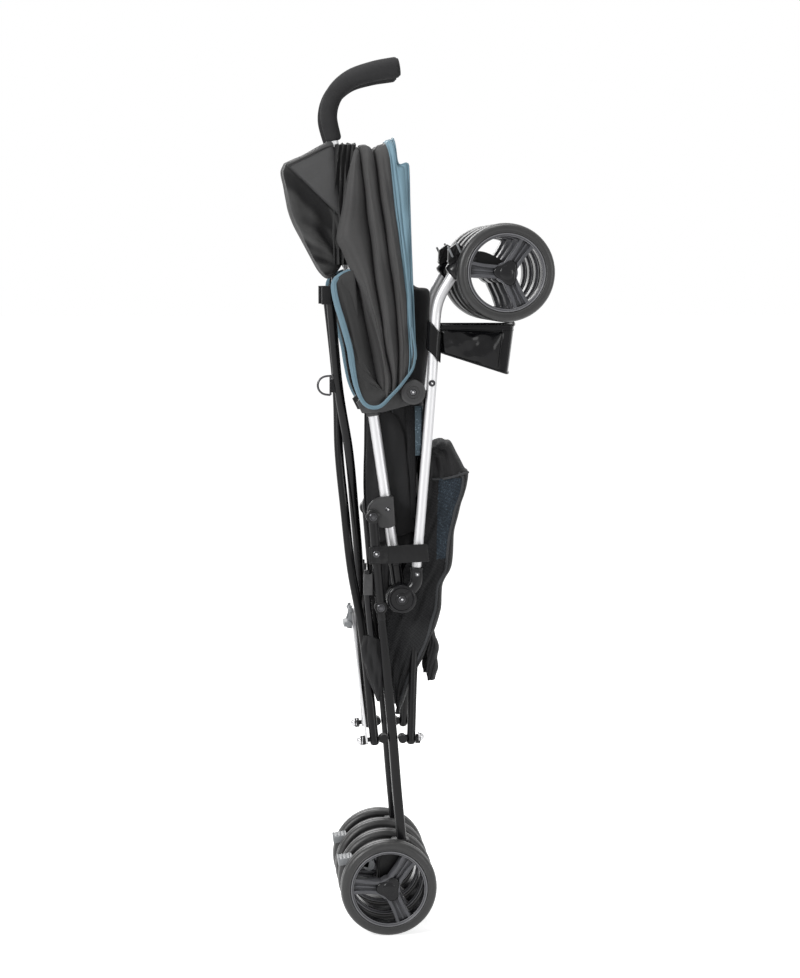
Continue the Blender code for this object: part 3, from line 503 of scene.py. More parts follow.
def build_foam(n, entry):
    """Foam rubber: open pores of two sizes."""
    scales = entry["Scale"], n.math('MULTIPLY', entry["Scale"], 0.37)
    small, large = (n.add("TexVoronoi", {"Vector": entry["Vector"], "Scale": scale}).outputs["Distance"]
                    for scale in scales)
    pores = n.math('MINIMUM', n.spread(small, 0.0, 0.45, 0.0, 1.0), n.spread(large, 0.0, 0.28, 0.0, 1.0))
    shade = n.math('MULTIPLY', n.math('ADD', pores, n.noise(entry["Vector"], 60)), 0.5)
    return {"Height": pores, "Shade": shade}


def build_wear(n, entry):
    """Worn edges: where the surface is sharp and a noise is high."""
    point = n.add("NewGeometry").outputs["Pointiness"]
    edge = n.spread(point, 0.52, 0.6, 0.0, 1.0)
    patch = n.spread(n.noise(entry["Vector"], 90, 5.0, 0.7), 0.42, 0.62, 0.0, 1.0)
    return {"Mask": n.math('MULTIPLY', n.math('MULTIPLY', edge, patch), entry["Amount"], clamp=True)}


def build_dust(n, entry):
    """Dust: a thin uneven layer on faces that look upwards."""
    normal = n.add("SeparateXYZ", {0: n.add("NewGeometry").outputs["Normal"]}).outputs[2]
    facing = n.spread(normal, -0.1, 1.0, 0.15, 1.0)
    patch = n.spread(n.noise(entry["Vector"], 38, 6.0, 0.65), 0.35, 0.75, 0.0, 1.0)
    return {"Mask": n.math('MULTIPLY', n.math('MULTIPLY', facing, patch), entry["Amount"], clamp=True)}


def build_net(n, entry):
    """Knitted net: slanted threads cross, with holes between them."""
    parts = n.add("SeparateXYZ", {0: entry["Vector"]}).outputs
    u, v = (n.math('DIVIDE', parts[k], entry["Pitch"]) for k in (0, 1))
    lines = []
    for way in (n.math('ADD', u, v), n.math('SUBTRACT', u, v)):
        away = n.math('ABSOLUTE', n.math('SUBTRACT', n.math('FRACT', way), 0.5))
        lines.append(n.spread(away, 0.24, 0.36, 0.0, 1.0))
    thread = n.math('MAXIMUM', *lines)
    knot = n.math('MULTIPLY', *lines)
    return {"Mask": thread, "Height": n.math('ADD', thread, knot)}


GROUPS = {
    "woven threads": ({"Vector": None, "Pitch": 0.001}, ("Height", "Shade"), build_weave),
    "moulded grain": ({"Vector": None, "Scale": 900.0}, ("Height", "Shade"), build_grain),
    "drawn metal": ({"Vector": None, "Scale": 700.0}, ("Height", "Shade"), build_brushed),
    "foam pores": ({"Vector": None, "Scale": 900.0}, ("Height", "Shade"), build_foam),
    "worn edges": ({"Vector": None, "Amount": 0.5}, ("Mask",), build_wear),
    "fine dust": ({"Vector": None, "Amount": 0.2}, ("Mask",), build_dust),
    "knitted net": ({"Vector": None, "Pitch": 0.004}, ("Mask", "Height"), build_net),
}
GRIME = (0.004, 0.004, 0.005, 1)
# Colour of the painted shade at the bottom of cloth folds and creases
PAINTED_FOLD_SHADE_COLOUR = (0.003, 0.003, 0.0035, 1)
DUST = (0.34, 0.33, 0.31, 1)


def make_look(name, colour, roughness, pattern, setting, bump, tone=0.18, patch=9.0, metallic=0.0, wear=0.0,
              worn=(0.25, 0.25, 0.25), dust=0.0, spots=None, hollow=0.0, **sockets):
    """Material: a pattern group for fine shade and bump, broad patches, worn edges and dust.

    pattern names the group and setting its pitch or scale. bump is the depth of the pattern in metres,
    tone the share by which the colour varies, patch the scale of its broad patches, and hollow how
    far the piece's own hollow attribute darkens the bottom of its folds, as painted shade.
    """
    material = bpy.data.materials.new("finish_" + name)
    material.use_nodes = True
    n = Nodes(material.node_tree)
    shader = n.tree.nodes["Principled BSDF"]
    place = n.add("TexCoord").outputs["Object"]
    on_surface = pattern in ("woven threads", "knitted net")
    vector = n.add("UVMap", uv_map="cloth").outputs[0] if on_surface else place
    made = n.use(pattern, Vector=vector, **{"Pitch" if on_surface else "Scale": setting})
    shade = made["Shade"] if "Shade" in made else made["Height"]
    broad = n.noise(place, patch, 4.0)
    dark, light = (tuple(c * share for c in colour) + (1,) for share in (1 - tone, 1 + tone))
    base = n.mix(n.spread(broad, 0.3, 0.7, 0.0, tone * 1.4), n.mix(shade, dark, light), GRIME)
    if spots:
        cells = n.add("TexVoronoi", {"Vector": vector, "Scale": 330.0, "Randomness": 1.0}).outputs["Distance"]
        base = n.mix(n.spread(cells, 0.18, 0.3, 1.0, 0.0), base, spots + (1,))
    # Painted shade: a per-point attribute of the piece darkens the colour at the bottom of its folds and creases
    if hollow:
        depth = n.add("Attribute", attribute_name="hollow").outputs["Fac"]
        deep = n.math('MULTIPLY', depth, hollow, clamp=True)
        base = n.mix(deep, base, PAINTED_FOLD_SHADE_COLOUR)
    if wear:
        base = n.mix(n.use("worn edges", Vector=place, Amount=wear)["Mask"], base, worn + (1,))
    if dust:
        base = n.mix(n.use("fine dust", Vector=place, Amount=dust)["Mask"], base, DUST)
    rough = n.spread(n.math('ADD', n.math('MULTIPLY', shade, 0.4), n.math('MULTIPLY', broad, 0.6)),
                     0.3, 0.7, roughness * 0.88, min(1.0, roughness * 1.14))
    n.tree.links.new(base, shader.inputs["Base Color"])
    n.tree.links.new(rough, shader.inputs["Roughness"])
    relief = n.add("Bump", {"Height": made["Height"], "Strength": 0.7, "Distance": bump})
    n.tree.links.new(relief.outputs[0], shader.inputs["Normal"])
    shader.inputs["Metallic"].default_value = metallic
    for key, value in sockets.items():
        shader.inputs[key.replace("_", " ")].default_value = value


class StrollerOperator(bpy.types.Operator):
    """Base of the operators: each runs once and can be undone."""
    bl_options = {'REGISTER', 'UNDO'}


class STROLLER_OT_finishes(StrollerOperator):
    """Make the shared node groups and every material"""
    bl_idname = "stroller.finishes"
    bl_label = "Finishes"

    def execute(self, context):
        for name, (inputs, outputs, build) in GROUPS.items():
            make_group(name, inputs, outputs, build)
        c, pitch = colours(), sizes().thread_pitch
        # Cloth settings; the fold amount darkens each cloth in its folds as painted shade
        cloth = {"Sheen_Weight": 0.1, "Sheen_Roughness": 0.5, "Specular_IOR_Level": 0.14, "hollow": 0.9}
        make_look("silver_tube", (0.66, 0.66, 0.67), 0.44, "drawn metal", 900.0, 0.00003, 0.05, metallic=0.75,
                  wear=0.2, worn=(0.5, 0.5, 0.5))
        # Bright steel of the acorn nuts, also on the small domes that paint the rivets' glints
        make_look("bright_steel", (0.6, 0.6, 0.61), 0.24, "drawn metal", 500.0, 0.00004, 0.08, metallic=1.0)
        make_look("grip_foam", (0.038, 0.038, 0.039), 0.9, "foam pores", 1400.0, 0.0004, 0.24, dust=0.02,
                  Sheen_Weight=0.05, Specular_IOR_Level=0.12)
        make_look("black_plastic", (0.007, 0.007, 0.0075), 0.38, "moulded grain", 1500.0, 0.00008, 0.2, dust=0.01,
                  wear=0.3, worn=(0.1, 0.1, 0.1), Specular_IOR_Level=0.2)
        make_look("gray_plastic", (0.044, 0.044, 0.045), 0.4, "moulded grain", 1500.0, 0.0001, 0.2, dust=0.02,
                  wear=0.4, worn=(0.16, 0.16, 0.16), Specular_IOR_Level=0.35)
        make_look("glossy_black", (0.006, 0.006, 0.007), 0.22, "moulded grain", 500.0, 0.00003, 0.2,
                  Specular_IOR_Level=0.22, Coat_Weight=0.08, Coat_Roughness=0.1)
        make_look("black_paint", (0.005, 0.005, 0.0055), 0.28, "moulded grain", 420.0, 0.00005, 0.2, wear=0.3,
                  worn=(0.12, 0.12, 0.12), dust=0.01, Specular_IOR_Level=0.2, Coat_Weight=0.06, Coat_Roughness=0.12)
        make_look("black_steel", (0.085, 0.085, 0.09), 0.24, "drawn metal", 600.0, 0.00004, 0.15, metallic=0.85)
        make_look("lever_gray", (0.24, 0.25, 0.26), 0.46, "moulded grain", 1300.0, 0.0001, 0.08, wear=0.3,
                  worn=(0.55, 0.55, 0.55), dust=0.05)
        make_look("rim_slate", tuple(c.rim), 0.36, "moulded grain", 1300.0, 0.00007, 0.12, wear=0.35,
                  worn=(0.2, 0.2, 0.22), dust=0.04, Specular_IOR_Level=0.35)
        # Lighter colour of the rings on the rims' lips: painted highlight
        make_look("rim_lip_highlight", (0.17, 0.17, 0.18), 0.34, "moulded grain", 1300.0, 0.00005, 0.12)
        make_look("tyre_charcoal", (0.016, 0.016, 0.016), 0.36, "moulded grain", 1800.0, 0.00014, 0.22, dust=0.05,
                  wear=0.3, worn=(0.11, 0.11, 0.11), Specular_IOR_Level=0.5)
        make_look("canopy_cloth", tuple(c.cloth), 0.66, "woven threads", pitch, 0.0002, 0.14, dust=0.02, **cloth)
        # A darker copy of the canopy cloth: painted shade, for the canopy's rear folds and lower hems, the pouch, its
        # seams and its ruffle
        make_look("shade_painted_cloth", (0.046, 0.046, 0.046), 0.66, "woven threads", pitch, 0.0002, 0.14, dust=0.02, **cloth)
        make_look("seat_cloth", tuple(c.lining), 0.66, "woven threads", pitch, 0.00022, 0.16, **cloth)
        make_look("panel_cloth", (0.08, 0.08, 0.081), 0.66, "woven threads", pitch * 1.3, 0.00024, 0.14, **cloth)
        make_look("blue_piping", tuple(c.trim), 0.55, "woven threads", pitch, 0.00015, 0.14, **cloth)
        make_look("visor_cloth", tuple(c.visor), 0.58, "woven threads", pitch, 0.00015, 0.12, **cloth)
        make_look("webbing", (0.018, 0.018, 0.019), 0.72, "woven threads", pitch * 1.8, 0.00045, 0.2, **cloth)
        make_look("binding_gray", (0.06, 0.062, 0.066), 0.7, "woven threads", pitch * 1.2, 0.00025, 0.16, **cloth)
        make_look("liner_print", (0.085, 0.12, 0.145), 0.7, "woven threads", pitch, 0.0002, 0.2,
                  spots=(0.2, 0.27, 0.33), **cloth)
        make_look("basket_cloth", (0.024, 0.0245, 0.0255), 0.7, "knitted net", 0.0044, 0.0005, 0.4, **cloth)
        make_look("basket_print", (0.03, 0.042, 0.055), 0.7, "knitted net", 0.0044, 0.0005, 0.4,
                  spots=(0.06, 0.082, 0.102), **cloth)
        make_look("footrest_vinyl", (0.003, 0.003, 0.0035), 0.2, "moulded grain", 260.0, 0.0001, 0.2, dust=0.005,
                  Specular_IOR_Level=0.16, Coat_Weight=0.1, Coat_Roughness=0.08)
        return {'FINISHED'}


# Stage and rigid pieces

# Each lamp is its name, place, size and power
LAMPS = (("key", (-1.8, 2.2, 2.0), 1.1, 62.0), ("fill", (-2.1, -2.2, 1.0), 1.2, 15.0),
         ("top", (0.2, 0.1, 3.2), 1.4, 34.0), ("rear", (2.4, 0.6, 1.8), 1.6, 26.0))
LAMP_GOAL = Vector((0, 0, 0.5))
CAMERA_PLACE = Vector((-2.8, 0.2682, 0.8455))
CAMERA_GOAL = Vector((0, 0.0184, 0.5664))
CAMERA_LENS = 80.03
FLOOR_REACH = 40.0
FLOOR_GLOW = 0.74
WORLD_LIGHT = 0.36


class STROLLER_OT_stage(StrollerOperator):
    """Add the floor, the soft lights, the pale surroundings and the camera"""
    bl_idname = "stroller.stage"
    bl_label = "Stage"

    def execute(self, context):
        floor = bpy.data.materials.new("pale_floor")
        floor.use_nodes = True
        n = Nodes(floor.node_tree)
        shader = n.tree.nodes["Principled BSDF"]
        shader.inputs["Base Color"].default_value = (0.8, 0.8, 0.8, 1)
        shader.inputs["Roughness"].default_value = 0.9
        shader.inputs["Specular IOR Level"].default_value = 0.0
        shader.inputs["Emission Color"].default_value = (1, 1, 1, 1)
        seen = n.math('MULTIPLY', self.seen(n), FLOOR_GLOW)
        n.tree.links.new(seen, shader.inputs["Emission Strength"])
        mesh = bpy.data.meshes.new("floor")
        corners = ((-1, -1), (1, -1), (1, 1), (-1, 1))
        mesh.from_pydata([(FLOOR_REACH * a, FLOOR_REACH * b, 0) for a, b in corners], [], [(0, 1, 2, 3)])
        mesh.materials.append(floor)
        plain = bpy.data.objects.new("floor", mesh)
        context.scene.collection.objects.link(plain)

        world = bpy.data.worlds.new("pale_surroundings")
        world.use_nodes = True
        context.scene.world = world
        n = Nodes(world.node_tree)
        back = n.tree.nodes["Background"]
        back.inputs["Color"].default_value = (1, 1, 1, 1)
        n.tree.links.new(n.spread(self.seen(n), 0.0, 1.0, WORLD_LIGHT, 1.0), back.inputs["Strength"])

        for name, place, size, power in LAMPS:
            lamp = bpy.data.lights.new(name + "_lamp", 'AREA')
            lamp.shape = 'DISK'
            lamp.size = size
            lamp.energy = power
            self.aim(context, name + "_lamp", lamp, Vector(place), LAMP_GOAL)

        camera = bpy.data.cameras.new("camera")
        camera.sensor_width = 36.0
        camera.lens = CAMERA_LENS
        camera.clip_end = 200
        context.scene.camera = self.aim(context, "camera", camera, CAMERA_PLACE, CAMERA_GOAL)
        context.scene.view_settings.view_transform = 'Standard'
        return {'FINISHED'}

    @staticmethod
    def seen(n):
        """1 for rays of the camera and of mirror and clear surfaces, which see plain white."""
        path = n.add("LightPath").outputs
        seen = n.math('MAXIMUM', path["Is Camera Ray"], path["Is Glossy Ray"])
        return n.math('MAXIMUM', seen, path["Is Transmission Ray"])

    @staticmethod
    def aim(context, name, data, place, goal):
        """Object at a place that looks at a goal."""
        obj = bpy.data.objects.new(name, data)
        obj.location = place
        obj.rotation_euler = (goal - place).to_track_quat('-Z', 'Y').to_euler()
        context.scene.collection.objects.link(obj)
        return obj


class STROLLER_OT_handles(StrollerOperator):
    """Build the handle tubes, foam grips and hubs"""
    bl_idname = "stroller.handles"
    bl_label = "Handles"

    def execute(self, context):
        crook = spline(GRIP_PATH, 90)
        for side, word in SIDES:
            body = word + "_frame"
            foot = handle_place(HUB[1] + SOCKET_LENGTH - 0.03)
            path = np.vstack([[foot], crook[:80]])
            piece(word + "_handle_bar", bar(side_path(side, HANDLE_X, path), HANDLE_R, 40, rows=120),
                  "silver_tube", body, [word + "_handle_tube"])
            lengths = lengths_along(crook)
            away = np.minimum(lengths, lengths[-1] - lengths)
            share = lengths / lengths[-1]
            swell = np.interp(share, [0, 0.35, 0.7, 1], [0.0102, 0.0112, 0.0124, 0.0136])
            swell = swell * (1 - 0.045 * np.exp(-away / 0.006))
            foam = crook + (-0.0014, -0.0004)
            grip = [bar(side_path(side, HANDLE_X, foam), swell, 48, 0.0042, rows=150)]
            tip, before = foam[-1], foam[-6]
            grip.append(turned([(-0.002, 0.0112), (0.0004, 0.011), (0.0009, 0.0098), (0.001, 0.0002)],
                               (side * HANDLE_X, *tip), (0, *(tip - before)), 36))
            piece(word + "_foam_grip", grip, "grip_foam", body, [word + "_grip"])
            piece(word + "_grip_collar", handle_sleeve(side, 0.9925, 1.0035, 0.009, 36, 0.0012, 6),
                  "black_plastic", body)
            top = HUB[1] + SOCKET_LENGTH
            wide = HUB_HALF - 0.0003
            disc = [(-HUB_HALF, 0.0002), (-HUB_HALF, HUB_R - 0.0022), (-HUB_HALF + 0.0008, HUB_R - 0.0006),
                    (-HUB_HALF + 0.002, HUB_R), (HUB_HALF - 0.002, HUB_R),
                    (HUB_HALF - 0.0008, HUB_R - 0.0006), (HUB_HALF, HUB_R - 0.0022), (HUB_HALF, 0.0002)]
            parts = [turned(disc, (side * HANDLE_X, *HUB), (side, 0, 0), 64),
                     handle_sleeve(side, HUB[1], top, wide, 40, 0.0012, 64),
                     handle_sleeve(side, top - 0.005, top, wide + 0.0007, 40, 0.001, 8)]
            piece(word + "_hub_casting", parts, "glossy_black", body, [word + "_hub"])
        return {'FINISHED'}


class STROLLER_OT_brackets(StrollerOperator):
    """Finish the brackets, the canopy's bosses and the clamps on the handle tubes"""
    bl_idname = "stroller.brackets"
    bl_label = "Brackets"

    def execute(self, context):
        quarter_far = REAR_LEG_X - 0.0062 - 0.0003
        for side, word in SIDES:
            body = word + "_frame"
            wrap = [handle_sleeve(side, low, high, HANDLE_R + 0.0019, 36, 0.0009, 10)
                    for low, high in ((0.5225, 0.542), (0.55, 0.561))]
            outline = resample(np.array(spline(QUARTER, 200)), 64)
            centre = outline.mean(0)
            ledge = np.vstack([outline[4:48], (centre + (outline[4:48] - centre) * 0.93)[::-1]])
            parts = [slab(outline, side, PLATE_X, quarter_far, 0.0014),
                     slab(ledge, side, quarter_far - 0.001, quarter_far + 0.0004, 0.0005)] + wrap
            piece(word + "_quarter_plate", parts, "gray_plastic", body, [word + "_leg_bracket"])
            rivets = [ringed(side, quarter_far, place, 0.0034, 0.001) for place in QUARTER_RIVETS]
            piece(word + "_quarter_rivets", rivets, "black_steel", body)

            boss_x = PLATE_X + BOSS_RISE
            boss = [(-BOSS_RISE, 0.0148), (-0.0184, 0.016), (-0.002, 0.016), (-0.0006, 0.0154), (0, 0.0142),
                    (-0.0002, 0.0112), (-0.0004, 0.0092), (-0.0002, 0.0084), (-0.002, 0.0078), (-0.0022, 0.006),
                    (-0.0022, 0.0002)]
            tail = handle_place(CANOPY_BOSS[1])
            edge = [(tail[0] + y, tail[1] + z) for y, z in ((0.018, -0.013), (0.011, -0.027), (-0.016, -0.026))]
            edge += [(CANOPY_BOSS[0], CANOPY_BOSS[1] - 0.016), (CANOPY_BOSS[0], CANOPY_BOSS[1] + 0.016),
                     (tail[0], tail[1] + 0.007)]
            parts = [turned(boss, (side * boss_x, *CANOPY_BOSS), (side, 0, 0), 64),
                     slab(edge, side, PLATE_X, PLATE_X + PLATE_THICKNESS, 0.0012)]
            parts.append(handle_sleeve(side, 0.664, 0.706, HANDLE_R + 0.0018, 32, 0.0008, 8))
            piece(word + "_canopy_boss", parts, "gray_plastic", body, [word + "_canopy_bracket"])
            rivets = [button(side, boss_x - 0.0022, CANOPY_BOSS, 0.0044, 0.002),
                      button(side, PLATE_X + PLATE_THICKNESS, (tail[0] + 0.006, tail[1] - 0.012), 0.0036)]
            piece(word + "_boss_rivets", rivets, "black_steel", body)

            height = REAR_TOP[1]
            tube_y = handle_place(height)[0]
            near_y, far_y = tube_y - HANDLE_R - 0.0026, REAR_TOP[0] - REAR_CROSS_R - 0.0012
            outline = [(near_y, height - 0.01), (far_y, height - 0.01), (far_y, height + 0.01),
                       (near_y, height + 0.01)]
            piece(word + "_clamp_block", slab(outline, side, HANDLE_X - HUB_HALF, PLATE_X + PLATE_THICKNESS, 0.0016),
                  "black_plastic", body, [word + "_cross_clamp"])
        return {'FINISHED'}


class STROLLER_OT_front_legs(StrollerOperator):
    """Build the front legs with their elbows and caster sockets"""
    bl_idname = "stroller.front_legs"
    bl_label = "Front legs"

    def execute(self, context):
        xs = [FRONT_LEG_X] * 5 + [(FRONT_LEG_X + REAR_LEG_X) / 2]
        for side, word in SIDES:
            body = word + "_front_leg"
            nodes = np.column_stack([side * np.asarray(xs), np.asarray(LEG_PATH)])
            route = spline(nodes, 140)
            along = unit(nodes[1] - nodes[0])
            foot = nodes[0] - along * 0.014
            crown = np.array([side * REAR_LEG_X, *CASTER_PIVOT])
            axis = unit(np.array([0, *CASTER_AXIS]))
            head = crown + axis * 0.01
            path = np.vstack([[foot], route, [head]])
            squeeze = np.interp(path[:, 2], [0.7, 0.8], [1.0, 1.06])
            piece(word + "_front_leg_bar", bar(path, LEG_R * squeeze, 36, rows=150), "silver_tube", body,
                  [word + "_front_leg_tube"])
            socket = [(0.0003, 0.011), (0.0006, 0.0124), (0.0012, 0.0128), (0.006, 0.0128), (0.0064, 0.012),
                      (0.0072, 0.012), (0.0076, 0.0128), (0.015, 0.0126), (0.0186, 0.0112), (0.0198, 0.009),
                      (0.02, 0.006)]
            piece(word + "_caster_socket", turned(socket, crown, axis, 48), "glossy_black", body, ())

            inner = nodes[0] - along * 0.022
            bend = spline([(side * FRONT_LEG_X, *HUB), inner, nodes[0]], 40)
            half, out = ELBOW_HALF, side * FRONT_LEG_X
            disc = [(-half, 0.0002), (-half, HUB_R - 0.002), (-half + 0.0018, HUB_R), (half - 0.0026, HUB_R),
                    (half - 0.001, HUB_R - 0.0008), (half, HUB_R - 0.0024), (half, HUB_R - 0.0038),
                    (half - 0.0012, HUB_R - 0.005), (half - 0.0012, 0.0082), (half - 0.0002, 0.0074),
                    (half, 0.0062), (half, 0.0002)]
            mouth = bend[-4:]
            parts = [turned(disc, (out, *HUB), (side, 0, 0), 72), bar(bend, half - 0.0003, 44, 0.0012, rows=40),
                     bar(mouth, half + 0.0004, 44, 0.0008, rows=8)]
            piece(word + "_elbow_casting", parts, "glossy_black", body, [word + "_front_elbow"])
            studs = [ringed(side, FRONT_LEG_X + half - 0.0002, HUB, 0.0046, 0.0014),
                     button(side, FRONT_LEG_X + half - 0.001, ELBOW_STUD, 0.0032, 0.0014)]
            piece(word + "_elbow_studs", studs, "black_steel", body)
            screw_x = FRONT_LEG_X + LEG_R - 0.0005
            screws = [ringed(side, screw_x, LEG_SCREW, 0.0044, 0.0018)]
            piece(word + "_leg_screw", screws, "black_steel", body)
        return {'FINISHED'}


class STROLLER_OT_casters(StrollerOperator):
    """Build the caster forks with their ribbed housings"""
    bl_idname = "stroller.casters"
    bl_label = "Casters"

    def execute(self, context):
        centre = np.array(CASTER_PIVOT)
        axis = unit(np.array(CASTER_AXIS))
        axle = np.array(FRONT_AXLE)
        bend = centre + (axle - centre) / 3 - axis * 0.012
        line = spline([centre - axis * 0.009, bend, axle], 26)
        half = np.interp(np.linspace(0, 1, 26), [0, 0.5, 1], [0.0122, 0.0116, 0.0118])
        for side, word in SIDES:
            body = word + "_caster"
            crown = [(-0.02, 0.0085), (-0.0194, 0.0112), (-0.018, 0.0126), (-0.007, 0.0135), (-0.001, 0.0135),
                     (0, 0.0129), (0, 0.0002)]
            parts = [turned(crown, (side * REAR_LEG_X, *centre), (0, *axis), 48),
                     leg_slab(strip(line, half - 0.0022), side, 0.006, 0.001)]
            for inner, outer in ((-0.0114, -0.0094), (-0.001, 0.001), (0.0094, 0.0114)):
                parts.append(slab(strip(line, half), side, REAR_LEG_X + inner, REAR_LEG_X + outer, 0.0005))
            for share in (5, 10, 15, 20):
                spot, square = line[share], unit(line[share + 1] - line[share - 1])[::-1] * (-1, 1)
                rib = pill(spot - square * 0.0095, spot + square * 0.0095, 0.0008)
                parts.append(leg_slab(rib, side, 0.0112, 0.0004))
            top = np.array([(-.037, .86), (-.0377, .8757), (-.0478, .8832), (-.0593, .877), (-.0568, .8595),
                            (-.0492, .848), (-.041, .849)])
            parts.append(leg_slab(top, side, 0.007, 0.0012))
            heart = top.mean(0)
            for low, high in ((0, 3), (1, 4), (2, 5), (2, 0), (6, 3)):
                rib = pill(heart + (top[low] - heart) * 0.94, heart + (top[high] - heart) * 0.94, 0.0009)
                parts.append(leg_slab(rib, side, 0.0092, 0.0004))
            parts += [cylinder(0.0156, 0.008, 0.0004, 0.0016, side, REAR_LEG_X, axle),
                      cylinder(AXLE_HALF, 0.004, 0.0004, 0.001, side, REAR_LEG_X, axle, 24)]
            piece(word + "_caster_housing", parts, "black_plastic", body, [word + "_caster_fork"])
            tabs = [slab(pill(low, high, 0.0012), side, REAR_LEG_X + 0.0086, REAR_LEG_X + 0.0124, 0.0005)
                    for low, high in (((-.042, .8664), (-.0364, .8786)), ((-.0521, .8719), (-.0467, .8836)))]
            piece(word + "_caster_tabs", tabs, "lever_gray", body)
        return {'FINISHED'}


# Outlines on a spoke: distance from the axle, then from the spoke's middle line
SPOKE_WEB = ((0.009, -0.0082), (0.03, -0.008), (0.0462, -0.0094), (0.0462, 0.0094), (0.03, 0.008), (0.009, 0.0082))
SPOKE_RIDGE = ((0.01, 0.004), (0.01, 0.0086), (0.03, 0.0086), (0.0464, 0.0104), (0.0464, 0.006), (0.03, 0.0042))
SPOKE_GROOVE = ((0.014, -0.0009), (0.044, -0.0012), (0.044, 0.0012), (0.014, 0.0009))
# Slabs of a spoke: outline, side of its middle line, reach inwards and outwards, and rounding
SPOKE = ((SPOKE_WEB, 1, 0.005, 0.005, 0.0008), (SPOKE_RIDGE, -1, 0.01, 0.01, 0.0012),
         (SPOKE_RIDGE, 1, 0.01, 0.01, 0.0012), (SPOKE_GROOVE, 1, 0.007, 0.0074, 0.0006))


def wheel_parts(side, x, axle):
    """Surfaces of a wheel: tyre, rim with three twin-ribbed spokes, hub cap with a black sheet in the barrel as
    painted shade, and lighter rings on the rim's lips as painted highlight.

    The cap's outline is radius = 0.0142 + 0.0026 * cos(3 * (a - turn)), with a lobe along each spoke.
    """
    at = (side * x, *axle)
    out = (side, 0, 0)
    flank = [(0.0101, 0.0493), (0.0112, 0.0496), (0.0117, 0.0503), (0.0117, 0.051), (0.0111, 0.0516),
             (0.0109, 0.0524), (0.0116, 0.0536), (0.0119, 0.0556), (0.0114, 0.058), (0.0098, 0.06),
             (0.0074, 0.0612), (0.005, 0.0617), (0.0042, 0.0612), (0.0036, 0.0618)]
    tyre = [turned(mirrored(flank, [(0, 0.062)]), at, out, 96, closed=True)]
    lip = [(0.0108, 0.0491), (0.0116, 0.0486), (0.0118, 0.0476), (0.0112, 0.0466), (0.009, 0.0457)]
    rim = [turned(mirrored(lip, [(0, 0.0452)]), at, out, 96, closed=True)]
    for turn in (SPOKE_TURN, SPOKE_TURN + 120, SPOKE_TURN + 240):
        ray = np.array([math.cos(math.radians(turn)), math.sin(math.radians(turn))])
        square = np.array([-ray[1], ray[0]])
        for places, way, near, far, edge in SPOKE:
            outline = [np.asarray(axle) + ray * r + square * way * t for r, t in places]
            rim.append(slab(outline, side, x - near, x + far, edge))
    core = [(-0.0112, 0.012), (-0.0108, 0.0132), (0.01, 0.014), (0.0104, 0.013), (0.0104, 0.0044)]
    rim.append(turned(core, at, out, 40))
    lobes = np.linspace(0, math.tau, 72, endpoint=False)
    reach = 0.0142 + 0.0026 * np.cos(3 * (lobes - math.radians(SPOKE_TURN)))
    outline = np.column_stack([axle[0] + reach * np.cos(lobes), axle[1] + reach * np.sin(lobes)])
    # A black sheet over the inside of the rim's barrel: painted shade in the hollow of the wheel
    lining = [(0.0086, 0.0451), (-0.0086, 0.0451), (-0.0086, 0.0458), (0.0086, 0.0458)]
    cap = [slab(outline, side, x + 0.008, x + 0.0119, 0.0024),
           button(side, x + 0.0113, axle, 0.0092, 0.0022, 40),
           slab(outline, side, x - 0.0119, x - 0.008, 0.0024), turned(lining, at, out, 96, closed=True)]
    lip_highlight_rings = []
    # Light rings on the rim's two lips: painted highlight
    for along, radius in ((0.0116, 0.0484), (0.0098, 0.0461)):
        turn = np.linspace(0, math.tau, 10, endpoint=False)
        profile = np.column_stack([along + 0.0005 * np.cos(turn), radius + 0.0007 * np.sin(turn)])
        lip_highlight_rings += [turned(profile * (way, 1), at, out, 96, closed=True) for way in (1, -1)]
    return tyre, rim, cap, lip_highlight_rings


class STROLLER_OT_wheels(StrollerOperator):
    """Build the eight wheels"""
    bl_idname = "stroller.wheels"
    bl_label = "Wheels"

    def execute(self, context):
        for end, axle in (("front", FRONT_AXLE), ("rear", REAR_AXLE)):
            for side, word in SIDES:
                for place in ("outer", "inner"):
                    stem = "_".join((word, end, place))
                    body = stem + "_wheel"
                    x = middle(stem + "_tyre").x * side
                    tyre, rim, cap, lip_highlight_rings = wheel_parts(side, x, axle)
                    piece(stem + "_rim_highlight_rings", lip_highlight_rings, "rim_lip_highlight", body)
                    piece(stem + "_soft_tyre", tyre, "tyre_charcoal", body, [stem + "_tyre"],
                          60)
                    piece(stem + "_wheel_rim", rim, "rim_slate", body, [stem + "_rim"])
                    piece(stem + "_hub_cap", cap, "glossy_black", body)
        return {'FINISHED'}


